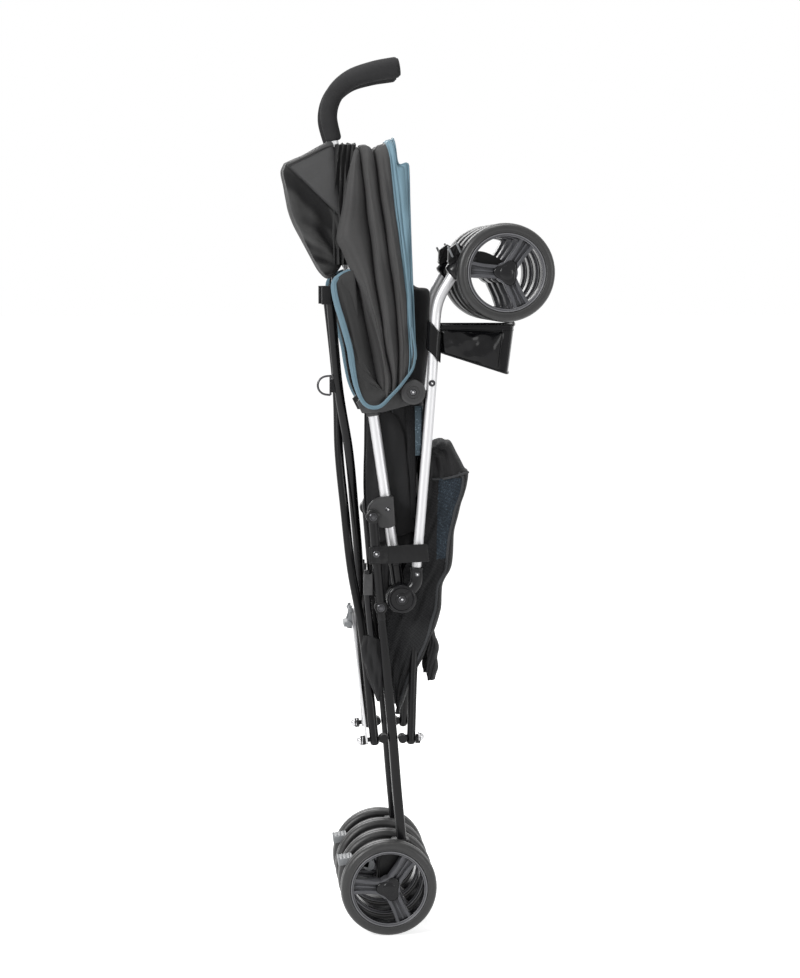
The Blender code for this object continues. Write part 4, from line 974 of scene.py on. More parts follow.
class STROLLER_OT_rear_legs(StrollerOperator):
    """Build the rear legs with their pivot eyes, axle housings and brake levers"""
    bl_idname = "stroller.rear_legs"
    bl_label = "Rear legs"

    def execute(self, context):
        for side, word in SIDES:
            body = word + "_rear_leg"
            lower = spline(REAR_PATH, 60)
            upper = np.array([REAR_PIVOT, REAR_PATH[0]])
            width = np.interp(np.linspace(0, 1, 60), [0, 0.06, 0.2, 1], [0.005, 0.0051, 0.006, 0.0063])
            parts = [bar(side_path(side, REAR_LEG_X, lower), width, 40, 0.0012, power=0.62, rows=70),
                     bar(side_path(side, REAR_LEG_X, np.vstack([upper, lower[1:4]])), 0.006, 32, rows=40)]
            for half, radius, drop, place in ((0.0062, 0.009, 0.001, REAR_PIVOT),
                                              (0.0064, 0.008, 0.0008, REAR_PATH[0])):
                parts.append(cylinder(half, radius, 0.0008, drop, side, REAR_LEG_X, place, 40, [(-half, 0.0002)]))
            piece(word + "_rear_leg_bar", parts, "black_paint", body, [word + "_rear_leg"])
            shell = [leg_slab(HOUSING, side, 0.01, 0.0026)]
            inner = (np.asarray(HOUSING) - REAR_AXLE) * 0.8 + REAR_AXLE + (0, 0.003)
            for x in (-0.0112, 0.0094):
                shell.append(slab(inner, side, REAR_LEG_X + x, REAR_LEG_X + x + 0.0018, 0.0008))
            shell += [cylinder(0.0156, 0.008, 0.0006, 0.0012, side, REAR_LEG_X, REAR_AXLE),
                      cylinder(AXLE_HALF, 0.004, 0.0004, 0.001, side, REAR_LEG_X, REAR_AXLE, 24)]
            piece(word + "_axle_housing", shell, "black_plastic", body, ())
            pins = [ringed(side, REAR_LEG_X + 0.0064, place, 0.0052, 0.0016)
                    for place in (REAR_PIVOT, REAR_PATH[0])]
            piece(word + "_eye_rivet", pins, "black_steel", body)

            arm = strip(spline([BRAKE_PIVOT, (0.076, 0.089), (0.088, 0.092)], 16),
                        np.interp(np.linspace(0, 1, 16), [0, 1], [0.0048, 0.004]))
            lever = [cylinder(0.009, 0.0076, 0.0006, 0.0006, side, REAR_LEG_X, BRAKE_PIVOT),
                     leg_slab(arm, side, 0.009, 0.001)]
            pad = np.array([(0.085, 0.0882), (0.1035, 0.0862), (0.1044, 0.0952), (0.0862, 0.0976)])
            lever.append(leg_slab(pad, side, 0.012, 0.0014))
            for share in (0.15, 0.4, 0.65, 0.9):
                spot = pad[3] + share * (pad[2] - pad[3])
                lever.append(leg_slab(pill(spot, spot + (0.0008, 0.0004), 0.0006), side, 0.01, 0.0003))
            piece(word + "_brake_pedal", lever, "lever_gray", word + "_brake", [word + "_brake_lever"])
        return {'FINISHED'}


class STROLLER_OT_rivet_glints(StrollerOperator):
    """Add small bright steel domes on the rivets' middles: painted glints"""
    bl_idname = "stroller.rivet_heads"
    bl_label = "Rivet glints"

    def execute(self, context):
        leg_x, plate_x = REAR_LEG_X + 0.0079, REAR_LEG_X - 0.0053
        boss_x = PLATE_X + BOSS_RISE - 0.0004
        for side, word in SIDES:
            # Places of the bright domes that paint the rivets' glints
            glint_places = (("_frame", (plate_x, QUARTER_RIVETS[1]), (boss_x, CANOPY_BOSS)),
                     ("_rear_leg", (leg_x, REAR_PIVOT), (leg_x, REAR_PATH[0])),
                     ("_front_leg", (FRONT_LEG_X + ELBOW_HALF + 0.0016, HUB),
                      (FRONT_LEG_X + ELBOW_HALF + 0.0002, ELBOW_STUD),
                      (FRONT_LEG_X + LEG_R + 0.0017, LEG_SCREW)))
            for body, *places in glint_places:
                parts = [button(side, x, place, 0.0014, 0.0009, 16) for x, place in places]
                piece(word + body + "_rivet_glints", parts, "bright_steel", word + body)
        # Bright dome on the latch's rivet: painted glint
        head = button(-1, LATCH_X + 0.0055, LATCH_RIVET, 0.0015, 0.0009, 16)
        piece("latch_rivet_glint", head, "bright_steel", "latch")
        return {'FINISHED'}


class STROLLER_OT_linkage(StrollerOperator):
    """Build the crossing tubes, and finish the blocks, stretcher, pedal and storage latch"""
    bl_idname = "stroller.linkage"
    bl_label = "Folding linkage"

    def execute(self, context):
        seat_top_x = FRONT_LEG_X - (LEG_R + 0.0012 + SEAT_CROSS_R)
        seat_shift = SEAT_CROSS_R + CROSS_GAP + 0.004
        kinds = (("rear_cross", REAR_LOW, REAR_TOP, REAR_TOP_X, REAR_CROSS_R, 0.0, 0.004),
                 ("seat_cross", SEAT_LOW, SEAT_TOP, seat_top_x, SEAT_CROSS_R, seat_shift, 0.012))
        for stem, low, top, top_x, radius, shift, short in kinds:
            rise = unit(np.array([0, top[0] - low[0], top[1] - low[1]]))
            forward = np.array([0, -rise[2], rise[1]])
            for side, word in SIDES:
                body = "_".join((word, stem))
                start, end = np.array([side * REAR_LEG_X, *low]), np.array([-side * top_x, *top])
                bow = forward * (shift + side * (radius + CROSS_GAP))
                shares = np.array([0, 0.22, 0.37, 0.5, 0.63, 0.78, 1.0])
                amount = np.array([0, 0, 0.92, 1, 0.92, 0, 0])
                step = unit(end - start)
                places = start + shares[:, None] * (end - start) + amount[:, None] * bow
                places[-1] = end - step * short
                line = np.vstack([[start - step * radius * 1.4], spline(places, 150)])
                piece(body + "_bar", bar(line, radius, 32, 0.004, rows=160), "black_paint", body,
                      [body + "_tube"])
        for side, word in SIDES:
            for node, look in (("_rear_block", "black_plastic"), ("_seat_block", "black_plastic"),
                               ("_stretcher_bar", "silver_tube")):
                dress(word + node, look, 0.0005)
        self.pedal()
        self.nuts()
        self.latch()
        return {'FINISHED'}

    @staticmethod
    def pedal():
        """Fold pedal: a pressed plate with two cross bolts, on the stretcher's middle."""
        plate = [(.0822, .4165), (.0862, .416), (.0862, .403), (.0885, .396), (.0885, .387), (.0822, .386)]
        tread = [(.085, .396), (.0925, .395), (.0925, .389), (.085, .388)]
        parts = [slab(plate, 1, at, at + 0.0016, 0.0004) for at in (-0.0135, 0.0119)]
        parts.append(slab(tread, 1, -0.016, 0.016, 0.001))
        for place, radius in (((.0845, .4105), .003), ((.0858, .3925), .0042)):
            bolt = [(-.017, .0002), (-.0168, radius * .8), (-.015, radius), (-.015, radius * .7),
                    (.015, radius * .7), (.015, radius), (.0168, radius * .8), (.017, .0002)]
            parts.append(turned(bolt, (0, *place), (1, 0, 0), 32))
        piece("pedal_plate", parts, "lever_gray", "right_stretcher", ["fold_pedal"])

    @staticmethod
    def nuts():
        """Acorn nuts and washers on the bolts of the lower blocks."""
        profile = [(-0.0034, 0.004), (-0.003, 0.0066), (-0.002, 0.0066), (-0.0019, 0.0052), (0.0006, 0.0052),
                   (0.0024, 0.0044), (0.004, 0.0026), (0.0046, 0.0003)]
        for node, out in (("_rear_block", 1), ("_seat_block", -1)):
            for side, word in SIDES:
                low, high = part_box(word + node)
                y = high.y + 0.0002 if out > 0 else low.y - 0.0002
                place = (side * REAR_LEG_X, y, LOW_HEIGHT - 0.0018 * out)
                piece(word + node + "_nut", turned(profile, place, (0, out, 0.07), 36), "bright_steel", word + node)

    @staticmethod
    def latch():
        """Storage latch: a flat plate with a raised border and its rivet."""
        corners = np.array([(0.0636, 0.4988), (-0.0109, 0.5022), (-0.0132, 0.4793), (0.0637, 0.4764)])
        rounding = 0.0012
        centres = corners + np.array([(-1, -1), (1, -1), (1, 1), (-1, 1)]) * rounding
        outline = np.vstack([place + rounding * arc((0, 0), 1, turn, turn + 90, 6)
                             for place, turn in zip(centres, (0, 90, 180, 270))])
        centre = outline.mean(0)
        border = (outline - centre) * (0.975, 0.92) + centre
        pad = np.array([(0.0615, 0.4966), (0.0395, 0.4976), (0.0395, 0.479), (0.0615, 0.4785)])
        parts = [slab(places, -1, LATCH_X + near, LATCH_X + far, edge) for places, near, far, edge in
                 ((outline, 0, 0.0028, 0.0007), (border, 0.002, 0.0033, 0.0004), (pad, 0.0028, 0.0042, 0.0007))]
        piece("latch_plate", parts, "black_plastic", "latch", ["storage_latch"])
        piece("latch_rivet", ringed(-1, LATCH_X + 0.004, LATCH_RIVET, 0.0044, 0.0012), "black_steel", "latch")


# Cloth

# Lines along the canopy's folds, from the boss to the top: distance from the middle, then (y, z)
FOLDS = [
    (0.052, [(.0613, .6746), (.0694, .6805), (.0803, .7066), (.0878, .7526), (.0938, .7832), (.1015, .8118),
             (.1066, .835), (.1012, .8442), (.0844, .8487), (.0786, .887), (.076, .937), (.0759, .9966)]),
    (0.06, [(.0581, .6751), (.0719, .7137), (.0795, .7553), (.087, .7893), (.0932, .8144), (.0982, .8332),
             (.0944, .8407), (.0818, .8494), (.0767, .8869), (.0753, .9367), (.0765, .9962)]),
    (0.047, [(.0481, .6767), (.0532, .713), (.0608, .7549), (.0671, .7865), (.0721, .8117), (.0771, .8319),
             (.0809, .8495), (.0872, .8745), (.0922, .8933), (.0845, .9496), (.0768, .9969)]),
    (0.058, [(.0439, .6799), (.0426, .7135), (.0489, .7527), (.0578, .7842), (.0666, .8093), (.0741, .8289),
             (.0863, .8487), (.0975, .8739), (.1038, .8894), (.0973, .9223), (.0896, .9665), (.0811, .9963)]),
    (0.064, [(.0406, .6828), (.04, .7138), (.0463, .7529), (.0532, .7843), (.0607, .8119), (.067, .8369),
             (.0745, .8594), (.0845, .8831), (.0895, .8968), (.0844, .9266), (.0806, .9663), (.0784, .9998)]),
    (0.052, [(.0351, .6859), (.0339, .7142), (.0416, .7461), (.0461, .7831), (.0503, .808), (.0538, .8289),
             (.0566, .8557), (.0597, .887), (.0642, .9162), (.0673, .9482), (.0724, .9797), (.0736, 1.0035)]),
    (0.064, [(.0317, .6903), (.0311, .7175), (.0368, .7528), (.0405, .7843), (.0437, .8119), (.0468, .8369),
             (.0499, .8619), (.0537, .8931), (.0581, .9267), (.0618, .9552), (.0643, .98), (.065, 1.0045)]),
    (0.052, [(.0256, .6954), (.0261, .722), (.0246, .7524), (.0269, .7831), (.0294, .8117), (.0323, .8365),
             (.0365, .8586), (.0416, .8971), (.0468, .9289), (.0505, .9607), (.0541, .9831), (.0555, .996)]),
    (0.063, [(.0208, .7023), (.0202, .7263), (.0196, .7527), (.0215, .7842), (.0234, .8118), (.0265, .8369),
             (.0291, .8619), (.0347, .8969), (.0391, .9292), (.0435, .9603), (.0466, .9826), (.0485, 1.004)]),
    (0.058, [(.014, .7115), (.0115, .7361), (.0124, .7614), (.0141, .7841), (.0152, .8137), (.0179, .8369),
             (.021, .862), (.0255, .897), (.0293, .9224), (.0344, .9732), (.0368, .9928), (.0405, 1.0075)]),
    (0.06, [(.0091, .7204), (.0079, .7387), (.0092, .7614), (.0108, .7841), (.0116, .8137), (.0136, .8369),
             (.0155, .862), (.0193, .897), (.0225, .9294), (.0275, .9716), (.03, .9927), (.0338, 1.0112)]),
    (0.056, [(.0057, .7281), (.0034, .7418), (.005, .76), (.0057, .7755), (.0073, .8136), (.0087, .8369),
             (.0095, .862), (.0108, .8971), (.0118, .9295), (.0129, .9734), (.015, .9831), (.0264, .9821),
             (.0309, 1.0125)])]
PIPING = [(.0811, .8492), (.0896, .8479), (.0994, .8426), (.1066, .835), (.107, .8239), (.1035, .807),
          (.0977, .7877), (.0921, .7684), (.0872, .7491), (.084, .7274), (.08, .7057), (.0739, .6888),
          (.0665, .6792), (.0568, .6763), (.047, .6792), (.035, .6913), (.0227, .7045), (.0094, .7226),
          (.0057, .7347), (.0052, .7492), (.0081, .7684), (.0094, .778)]
POUCH = [(.1655, .983), (.1693, .9718), (.1656, .9541), (.1611, .9288), (.1548, .9105), (.1471, .8949),
         (.1314, .864), (.1221, .8485), (.1119, .8407), (.101, .848), (.093, .865), (.092, .9),
         (.1, .96), (.106, 1.0095), (.119, 1.006), (.1395, .995)]
POUCH_HALF = 0.0435
SEAM = [(.16, .976), (.1484, .9632), (.1334, .9495), (.1158, .9321), (.0995, .9178), (.09, .908)]
SEAT_FRONT = [(.004, .833), (-.0035, .8275), (-.019, .8228), (-.019, .7908), (-.0182, .773), (-.017, .7154),
              (-.0131, .6897), (-.0106, .6691), (-.008, .6318), (-.0042, .593), (-.0016, .5542), (-.0029, .5217),
              (-.0004, .4957), (.006, .46), (.012, .433), (.019, .41)]
SEAT_REAR = [(.0614, .8241), (.0628, .7732), (.0641, .7093), (.0629, .667), (.063, .6323), (.0643, .5936),
             (.0644, .5613), (.0618, .5289), (.0567, .4963), (.05, .4689), (.045, .44),
             (.042, .413)]
SEAT_FOLD = [(.0425, .6722), (.0322, .6683), (.0232, .6605), (.0181, .6476), (.0142, .6321), (.0103, .5934),
             (.0064, .5545), (.0012, .5285), (-.003, .515)]
SEAT_STRAP = [(.0077, .677), (.0063, .6449), (.005, .6062), (.0037, .5673), (.0037, .531)]
BASKET_FRONT = [(-.0182, .6238), (-.0246, .6251), (-.0298, .6302), (-.0349, .6314), (-.0401, .6288), (-.0452, .6288),
                (-.0504, .6223), (-.0569, .6107), (-.0647, .5951), (-.0699, .5899), (-.0687, .5745), (-.0648, .5616),
                (-.0597, .5487), (-.0558, .5293), (-.052, .5099), (-.0495, .4775), (-.0469, .4645), (-.0405, .4529),
                (-.0373, .4438), (-.0367, .4282), (-.0352, .4152), (-.0304, .3997), (-.0265, .384), (-.0203, .3671),
                (-.0093, .345), (.0028, .3215), (.0103, .3006), (.0139, .289), (.0175, .2775)]
BASKET_REAR = [(-.0092, .6226), (-.0092, .5943), (-.0079, .5685), (-.0041, .5428), (-.0002, .5169), (.0062, .4911),
               (.015, .4688), (.024, .4404), (.03, .4171), (.037, .395), (.039, .3745), (.0399, .3483),
               (.0357, .322), (.0289, .2957), (.0255, .286), (.0215, .2775)]
NET_EDGE = [(-.0194, .5828), (-.0297, .5827), (-.04, .5839), (-.0503, .5864), (-.0581, .5889), (-.0671, .5914)]
LOOP = [(.0649, .468), (.0649, .4476), (.0649, .4333), (.063, .4125), (.0611, .3917), (.0586, .3761), (.0534, .363)]

# Layer of the wire ring, which hangs on a crossing tube
RING_X = 0.019


def wave(*terms):
    """Folds: the sum of size * sin(turns * place + shift) over (size, place, turns, shift) terms."""
    return sum(size * np.sin(turns * place + shift) for size, place, turns, shift in terms)


def store_painted_fold_shade(obj, depth):
    """Store the painted shade of the cloth's folds: each point's depth in a fold, 0 on a crest and 1 at the bottom,
    which darkens the cloth's colour as painted shade.
    """
    layer = obj.data.attributes.new("hollow", 'FLOAT', 'POINT')
    layer.data.foreach_set("value", np.clip(depth, 0, 1).astype(np.float32).ravel())


def cloth_piece(name, data, looks, body=None, thickness=None, material_of=None, depth=None):
    """Sheet with a thickness inwards, its looks given face by face."""
    obj = piece(name, data, looks[0], body)
    # depth: painted shade for the folds, kept as an attribute for the cloth's colour
    if depth is not None:
        store_painted_fold_shade(obj, depth)
    for look in looks[1:]:
        obj.data.materials.append(finish(look))
    if material_of is not None:
        obj.data.polygons.foreach_set("material_index", np.ascontiguousarray(material_of, np.int32))
    solid = obj.modifiers.new("Solidify", 'SOLIDIFY')
    solid.thickness = thickness or sizes().cloth_thickness
    solid.offset = -1
    return obj


def trough(rear, front, half, rounding, rows, columns, folds, bulge=0.0):
    """Cloth folded round its front edge: a side, the fold, and the other side.

    On a side the point lies between the rear and front lines, at x = half + bulge * sin(pi * share).
    Round the fold x = half * cos(a), and the point lies rounding * sin(a) in front of the side's end.
    folds gives the height of its creases from (row share, column share).
    """
    back, nose = spline(rear, rows), spline(front, rows)
    away = unit(nose - back)
    reach = np.linalg.norm(nose - back, axis=1) - rounding
    share = np.linspace(0, 1, columns)
    turn = np.linspace(0, math.pi, columns // 2)[1:-1]
    side_place = back[:, None] + away[:, None] * (reach[:, None] * share)[..., None]
    fold_place = back[:, None] + away[:, None] * (reach[:, None] + rounding * np.sin(turn))[..., None]
    places = np.concatenate([side_place, fold_place, side_place[:, ::-1]], 1)
    side_x = half + bulge * np.sin(math.pi * share)
    x = np.concatenate([-side_x, -half * np.cos(turn), side_x[::-1]])
    x = np.broadcast_to(x, places.shape[:2])
    out_x = np.concatenate([np.full(columns, -1.0), -np.cos(turn), np.full(columns, 1.0)])
    out_y = np.concatenate([np.zeros(columns), np.sin(turn), np.zeros(columns)])
    row = np.linspace(0, 1, rows)[:, None]
    column = np.concatenate([share, np.ones(len(turn)), share[::-1]])[None]
    lift = folds(row, column)
    points = np.concatenate([(x + out_x * lift)[..., None],
                             places + away[:, None] * (out_y * lift)[..., None]], -1)
    return points


class STROLLER_OT_canopy(StrollerOperator):
    """Build the canopy: one pleated sheet from side to side, its visor and its blue edging"""
    bl_idname = "stroller.canopy"
    bl_label = "Canopy"

    def execute(self, context):
        rows, top_rows, steps, corner = 110, 56, 8, 0.02
        lines = np.stack([spline(places, rows) for _, places in FOLDS])
        depths = np.array([depth for depth, _ in FOLDS])
        w = np.linspace(0, len(FOLDS) - 1, (len(FOLDS) - 1) * steps + 1)
        k = np.minimum(w.astype(int), len(FOLDS) - 2)
        t = (w - k)[:, None]
        rising = (depths[k + 1] > depths[k])[:, None]
        ease = np.where(rising, np.sin(math.pi / 2 * t) ** 0.7, 1 - np.cos(math.pi / 2 * t) ** 0.7)
        places = lines[k] * (1 - t[..., None]) + lines[k + 1] * t[..., None]
        row = np.linspace(0, 1, rows)[None]
        round_top = (ease - t) * np.clip((row - 0.8) / 0.2, 0, 1) ** 2
        places[..., 1] += (lines[k + 1] - lines[k])[..., 1] * round_top
        x = depths[k][:, None] * (1 - ease) + depths[k + 1][:, None] * ease
        gather = np.interp(row, [0, 0.1, 0.35, 1], [0.55, 0.75, 1, 1])
        x = 0.0535 + (x - 0.0535) * gather - 0.003 * (1 - gather)
        column = w[:, None]
        grooves = np.clip(np.sin(column * math.tau * 1.5 + row * 2), 0, 1) ** 6 * (column > 9)
        x = x - 0.0012 * grooves
        creases = wave((0.0007, row * 7 + column * 0.9, 3.1, 0.4), (0.0004, column * 12 + row * 5, 1.0, 0.7),
                       (0.0005, row * 13 - column * 0.7, 2.3, 1.9), (0.0006, column * 1.7 + row * 3, 2.9, 0.2))
        x = x + creases * np.interp(row, [0, 0.15, 0.9, 1], [0.3, 1, 1, 0.2])
        length = np.cumsum(np.concatenate([np.zeros((len(w), 1)),
                                           np.linalg.norm(np.diff(places, axis=1), axis=2)], 1), axis=1)
        left = np.clip((length - (length[:, -1:] - corner)) / corner, 0, 1)
        x = x - corner * (1 - np.sqrt(1 - left ** 2 * 0.96))
        side = layered(-x, places)
        ends = x[:, -1:]
        over = np.cos(np.linspace(0, math.pi, top_rows + 2))[1:-1][None]
        sag = 0.0025 * np.sqrt(np.clip(1 - over ** 2, 0, 1)) * (1 + 0.5 * np.sin(column * 2.1 + over * 5))
        top = np.stack([-ends * over, places[:, -1:, 0] + 0 * over, places[:, -1:, 1] + sag], -1)
        other = side[:, ::-1] * (-1, 1, 1)
        points = np.concatenate([side, top, other], 1).transpose(1, 0, 2)
        data = grid(points)
        count = points.shape[1] - 1
        band = (np.arange(len(data[2])) % count) / steps
        # Faces of the two rearmost folds take the darker copy of the canopy cloth as painted shade; the front folds
        # take the visor cloth
        kinds = np.where(band < 1.9, 1, np.where(band >= 9, 2, 0))
        # Painted shade: deep darkens the cloth in the valleys between the pleats and in the grooves, where shade
        # falls
        tops = np.maximum(depths, np.maximum(np.roll(depths, 1), np.roll(depths, -1)))
        crest = np.interp(w, np.arange(len(FOLDS)), tops)
        ridge = depths[k] * (1 - ease[:, 0]) + depths[k + 1] * ease[:, 0]
        deep = np.clip((crest - ridge) / 0.011, 0, 1) ** 1.5
        deep = np.maximum(deep[:, None], grooves * 0.55)
        deep = deep * np.interp(row, [0, 0.2, 0.93, 1], [0.8, 1, 1, 0.6])
        deep = np.concatenate([deep, np.zeros((len(w), top_rows)), deep[:, ::-1]], 1).T
        looks = ("canopy_cloth", "shade_painted_cloth", "visor_cloth")
        canopy = cloth_piece("canopy", data, looks, None, None, kinds, deep)
        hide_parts("right_canopy_half", "left_canopy_half")
        edging = []
        radius = sizes().piping_radius
        for index, size in ((9, 0.45), (11, 0.55), (10, 0.35)):
            edge = points[:, index * steps]
            edging.append(bar(edge[3:-3] + (0, -0.0006, 0), radius * size, 10, 0.0004, rows=260))
        for way in (-1, 1):
            loop = side_path(way, 0.0622, spline(PIPING, 150))
            share = np.linspace(0, 1, 150)
            loop[:, 0] += way * np.interp(share, [0, 0.12, 0.8, 1], [-0.004, 0, 0, 0.004])
            swell = np.interp(share, [0, 0.12, 0.4, 0.55, 0.8, 1], [0.3, 0.62, 0.66, 0.44, 0.3, 0.22])
            edging.append(bar(loop, radius * swell, 16, 0.0002, flat=2.8, power=0.8, rows=190))
            edging.append(bar(loop + (way * radius * 0.55, 0, 0), radius * swell * 0.35, 10, 0.0001, flat=1.4,
                              rows=190))
        trim = piece("canopy_edging", edging, "blue_piping")
        self.hem(points)
        for obj in (canopy, trim):
            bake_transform(obj)
        return {'FINISHED'}

    @staticmethod
    def hem(points):
        """Lower hem of each side: cloth between the folds' ends and the edging, gathered at the boss."""
        rows = 14
        loop = spline(PIPING, points.shape[1])
        for way, word in SIDES:
            start = points[2] if way < 0 else points[-3]
            end = side_path(way, 0.0605, loop)
            share = np.linspace(0, 1, rows)[:, None, None]
            sheet_points = start[None] * (1 - share) + end[None] * share
            column = np.linspace(0, 1, points.shape[1])[None]
            lift = -0.003 * np.sin(math.pi * share[..., 0]) * (1 + 0.6 * np.sin(column * 40))
            sheet_points[..., 0] += way * lift
            # The hem takes the darker copy of the canopy cloth: painted shade
            hem = cloth_piece(word + "_canopy_hem", grid(sheet_points), ("shade_painted_cloth",), word + "_frame")


class STROLLER_OT_pouch(StrollerOperator):
    """Build the storage pouch behind the handles"""
    bl_idname = "stroller.pouch"
    bl_label = "Pouch"

    def execute(self, context):
        outline = resample(np.array(spline(POUCH + POUCH[:1], 400)), 181)[:-1]
        centre = np.array([0.125, 0.94])
        t = np.concatenate([np.linspace(0.03, 0.96, 34), 1 - 0.04 * np.cos(np.linspace(0.2, 1.45, 6))])
        flat = centre + (outline - centre)[None] * t[:, None, None]
        y, z = flat[..., 0], flat[..., 1]
        seam = np.asarray(SEAM)
        along = unit(seam[-1] - seam[0])
        above = (z - seam[0][1]) * along[0] * -1 + (y - seam[0][0]) * along[1]
        ease = np.clip(above / 0.006, -1, 1)
        run = (y - seam[0][0]) * along[0] + (z - seam[0][1]) * along[1]
        from_corner = np.hypot(y - 0.095, z - 0.85)
        around = np.arctan2(z - 0.85, y - 0.095)
        bag = wave((0.0062, around, 8.5, 0.9), (0.0036, around + from_corner * 5, 17, 1.7),
                   (0.001, run + above, 190, 0.2)) * np.clip(from_corner / 0.05, 0, 1)
        lift = np.where(ease < 0, bag * np.clip(-above / 0.02, 0, 1), 0.0004 * np.sin(run * 160))
        groove = -0.0016 * np.exp(-(above / 0.0011) ** 2) + 0.0012 * ease
        fall = np.sqrt(np.clip(1 - t ** 6, 0, 1))[:, None]
        x = POUCH_HALF - 0.01 * (1 - fall) + (lift + groove) * fall
        right = np.stack([-x, y, z], -1)
        across = np.linspace(-1, 1, 26)[1:-1, None]
        edge_x = x[-1]
        place = np.arange(len(outline))[None]
        ripple = wave((0.001, across * 3, 3.0, 0.3), (0.0008, across * 5 + place * 0.11, 1.0, 0))
        normal = unit(outline - centre)
        rim = outline[None] + normal[None] * (0.0008 * (1 - across ** 2) + ripple * (1 - across ** 4))[..., None]
        belt = layered(across * edge_x[None], rim)
        left = right[::-1] * (-1, 1, 1)
        points = np.concatenate([right, belt, left], 0)
        data = grid(points, (False, True), True)
        rows, columns = points.shape[:2]
        over = np.zeros((rows - 1, columns), int)
        over[:len(t) - 1] = above[:-1] > 0
        over[-(len(t) - 1):] = over[:len(t) - 1][::-1]
        kinds = np.concatenate([over.ravel(), [0, 0]])
        # The pouch takes the darker copy of the canopy cloth as painted shade, its upper panel the panel cloth
        pouch = piece("pouch", data, "shade_painted_cloth", None, ["right_pouch_half", "left_pouch_half"],
                      70)
        # Painted shade: darker in the bag's fold valleys and along the seam's groove
        deep = np.where(ease < 0, np.clip(0.4 - bag / 0.006, 0, 1) * 0.95, 0)
        deep = deep + 0.7 * np.exp(-(above / 0.0014) ** 2)
        store_painted_fold_shade(pouch, np.concatenate([deep, np.zeros((len(across), len(outline))), deep[::-1]], 0))
        pouch.data.materials.append(finish("panel_cloth"))
        pouch.data.polygons.foreach_set("material_index", np.ascontiguousarray(kinds, np.int32))
        band = []
        for way in (-1, 1):
            top = spline([(.164, .98), (.1395, .9915), (.1189, 1.0015), (.106, 1.006)], 60)
            band.append(bar(side_path(way, POUCH_HALF - 0.0012, top), 0.0011, 10, 0.0004, rows=70))
            line = side_path(way, POUCH_HALF + 0.0004, spline(SEAM, 90) + (-0.0008, 0.0022))
            band += [bar(line[a:a + 2], 0.0003, 6, 0.0001, rows=3) for a in range(2, 86, 2)]
        # Seams in the darker copy of the canopy cloth: painted shade
        trim = piece("pouch_seams", band, "shade_painted_cloth")
        ruffle = self.ruffle()
        for obj in (pouch, trim, ruffle):
            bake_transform(obj)
        return {'FINISHED'}

    @staticmethod
    def ruffle():
        """Cloth gathered between the pouch and the canopy, over from side to side, in the darker copy of the canopy
        cloth as painted shade.
        """
        row = np.linspace(0, 1, 60)[:, None]
        side = spline([(.093, .856), (.093, .9), (.0925, .95), (.0915, .985), (.09, 1.006)], 60)
        across = np.linspace(-1, 1, 44)[1:-1, None]
        half = 0.0415
        column = np.linspace(0, 1, 15)[None]
        y = side[:, :1] + (column - 0.5) * 0.026 + 0.0012 * np.sin(column * 30 + row * 9)
        z = np.broadcast_to(side[:, 1:], y.shape)
        fold = np.sin(column * 26 + row * 4)
        right = np.stack([-half - 0.0022 * fold, y, z], -1)
        crown_shape = (len(across), column.size)
        crown = np.stack([half * across * np.ones((1, column.size)), np.broadcast_to(y[-1:], crown_shape),
                          z[-1:] + 0.003 * (1 - across ** 4) * (1 + 0.5 * np.sin(column * 22))], -1)
        points = np.concatenate([right, crown, right[::-1] * (-1, 1, 1)], 0)
        # Painted shade: darker in the ruffle's fold valleys
        depth = np.concatenate([0.5 - 0.5 * fold, np.zeros(crown_shape), 0.5 - 0.5 * fold[::-1]], 0)
        ruffle = cloth_piece("pouch_ruffle", grid(points), ("shade_painted_cloth",), None, None, None, depth)
        return ruffle


class STROLLER_OT_seat(StrollerOperator):
    """Build the folded seat sling"""
    bl_idname = "stroller.seat"
    bl_label = "Seat"

    def execute(self, context):
        def folds(row, column):
            return wave((0.0012, row * 2 + column * 1.2, 9.0, 0.5), (0.0008, row * 5 - column, 6.0, 1.0),
                        (0.0005, column * 3 + row * 2, 8.0, 2.0)) * np.interp(row, [0, 0.1, 0.9, 1], [0.4, 1, 1, 0.3])

        points = trough(SEAT_REAR, SEAT_FRONT, 0.0215, 0.012, 150, 28, folds, -0.0015)
        seat = cloth_piece("seat_sling", grid(points), ("seat_cloth",))
        rear, front = spline(SEAT_REAR[3:9], 70), spline(SEAT_FOLD, 70)
        share = np.linspace(0, 1, 24)[None, :, None]
        flat = rear[:, None] * (1 - share) + front[:, None] * share
        down = np.linspace(0, 1, 70)[:, None]
        across = share[..., 0]
        lift = 0.0003 + 0.0016 * np.sin(math.pi * across) + wave((0.0007, across * 2 + down * 1.4, 5.0, 0.6))
        for way, word in SIDES:
            # Painted shade: the layer darkens where it lies low between its swells
            layer = cloth_piece(word + "_seat_layer", grid(layered(way * (0.0229 + lift * 0.4), flat)),
                                ("seat_cloth",), word + "_frame", 0.0008, None, np.clip(0.45 - lift / 0.003, 0, 1))
            strap = side_path(way, 0.0236, spline(SEAT_STRAP, 30))
            width = np.interp(np.linspace(0, 1, 30), [0, 1], [0.0008, 0.00035])
            piece(word + "_seat_strap", bar(strap, width, 14, 0.0002, flat=7.5, power=0.6, rows=40), "webbing",
                  word + "_frame")
        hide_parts("right_seat_half", "left_seat_half")
        hem = [bar(points[2:-2, index] + (out * 0.0004, 0, 0), 0.0013, 10, 0.0004, rows=150)
               for index, out in ((14, -1), (-15, 1))]
        trim = piece("seat_hems", hem, "binding_gray")
        for obj in (seat, trim):
            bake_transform(obj)
        return {'FINISHED'}


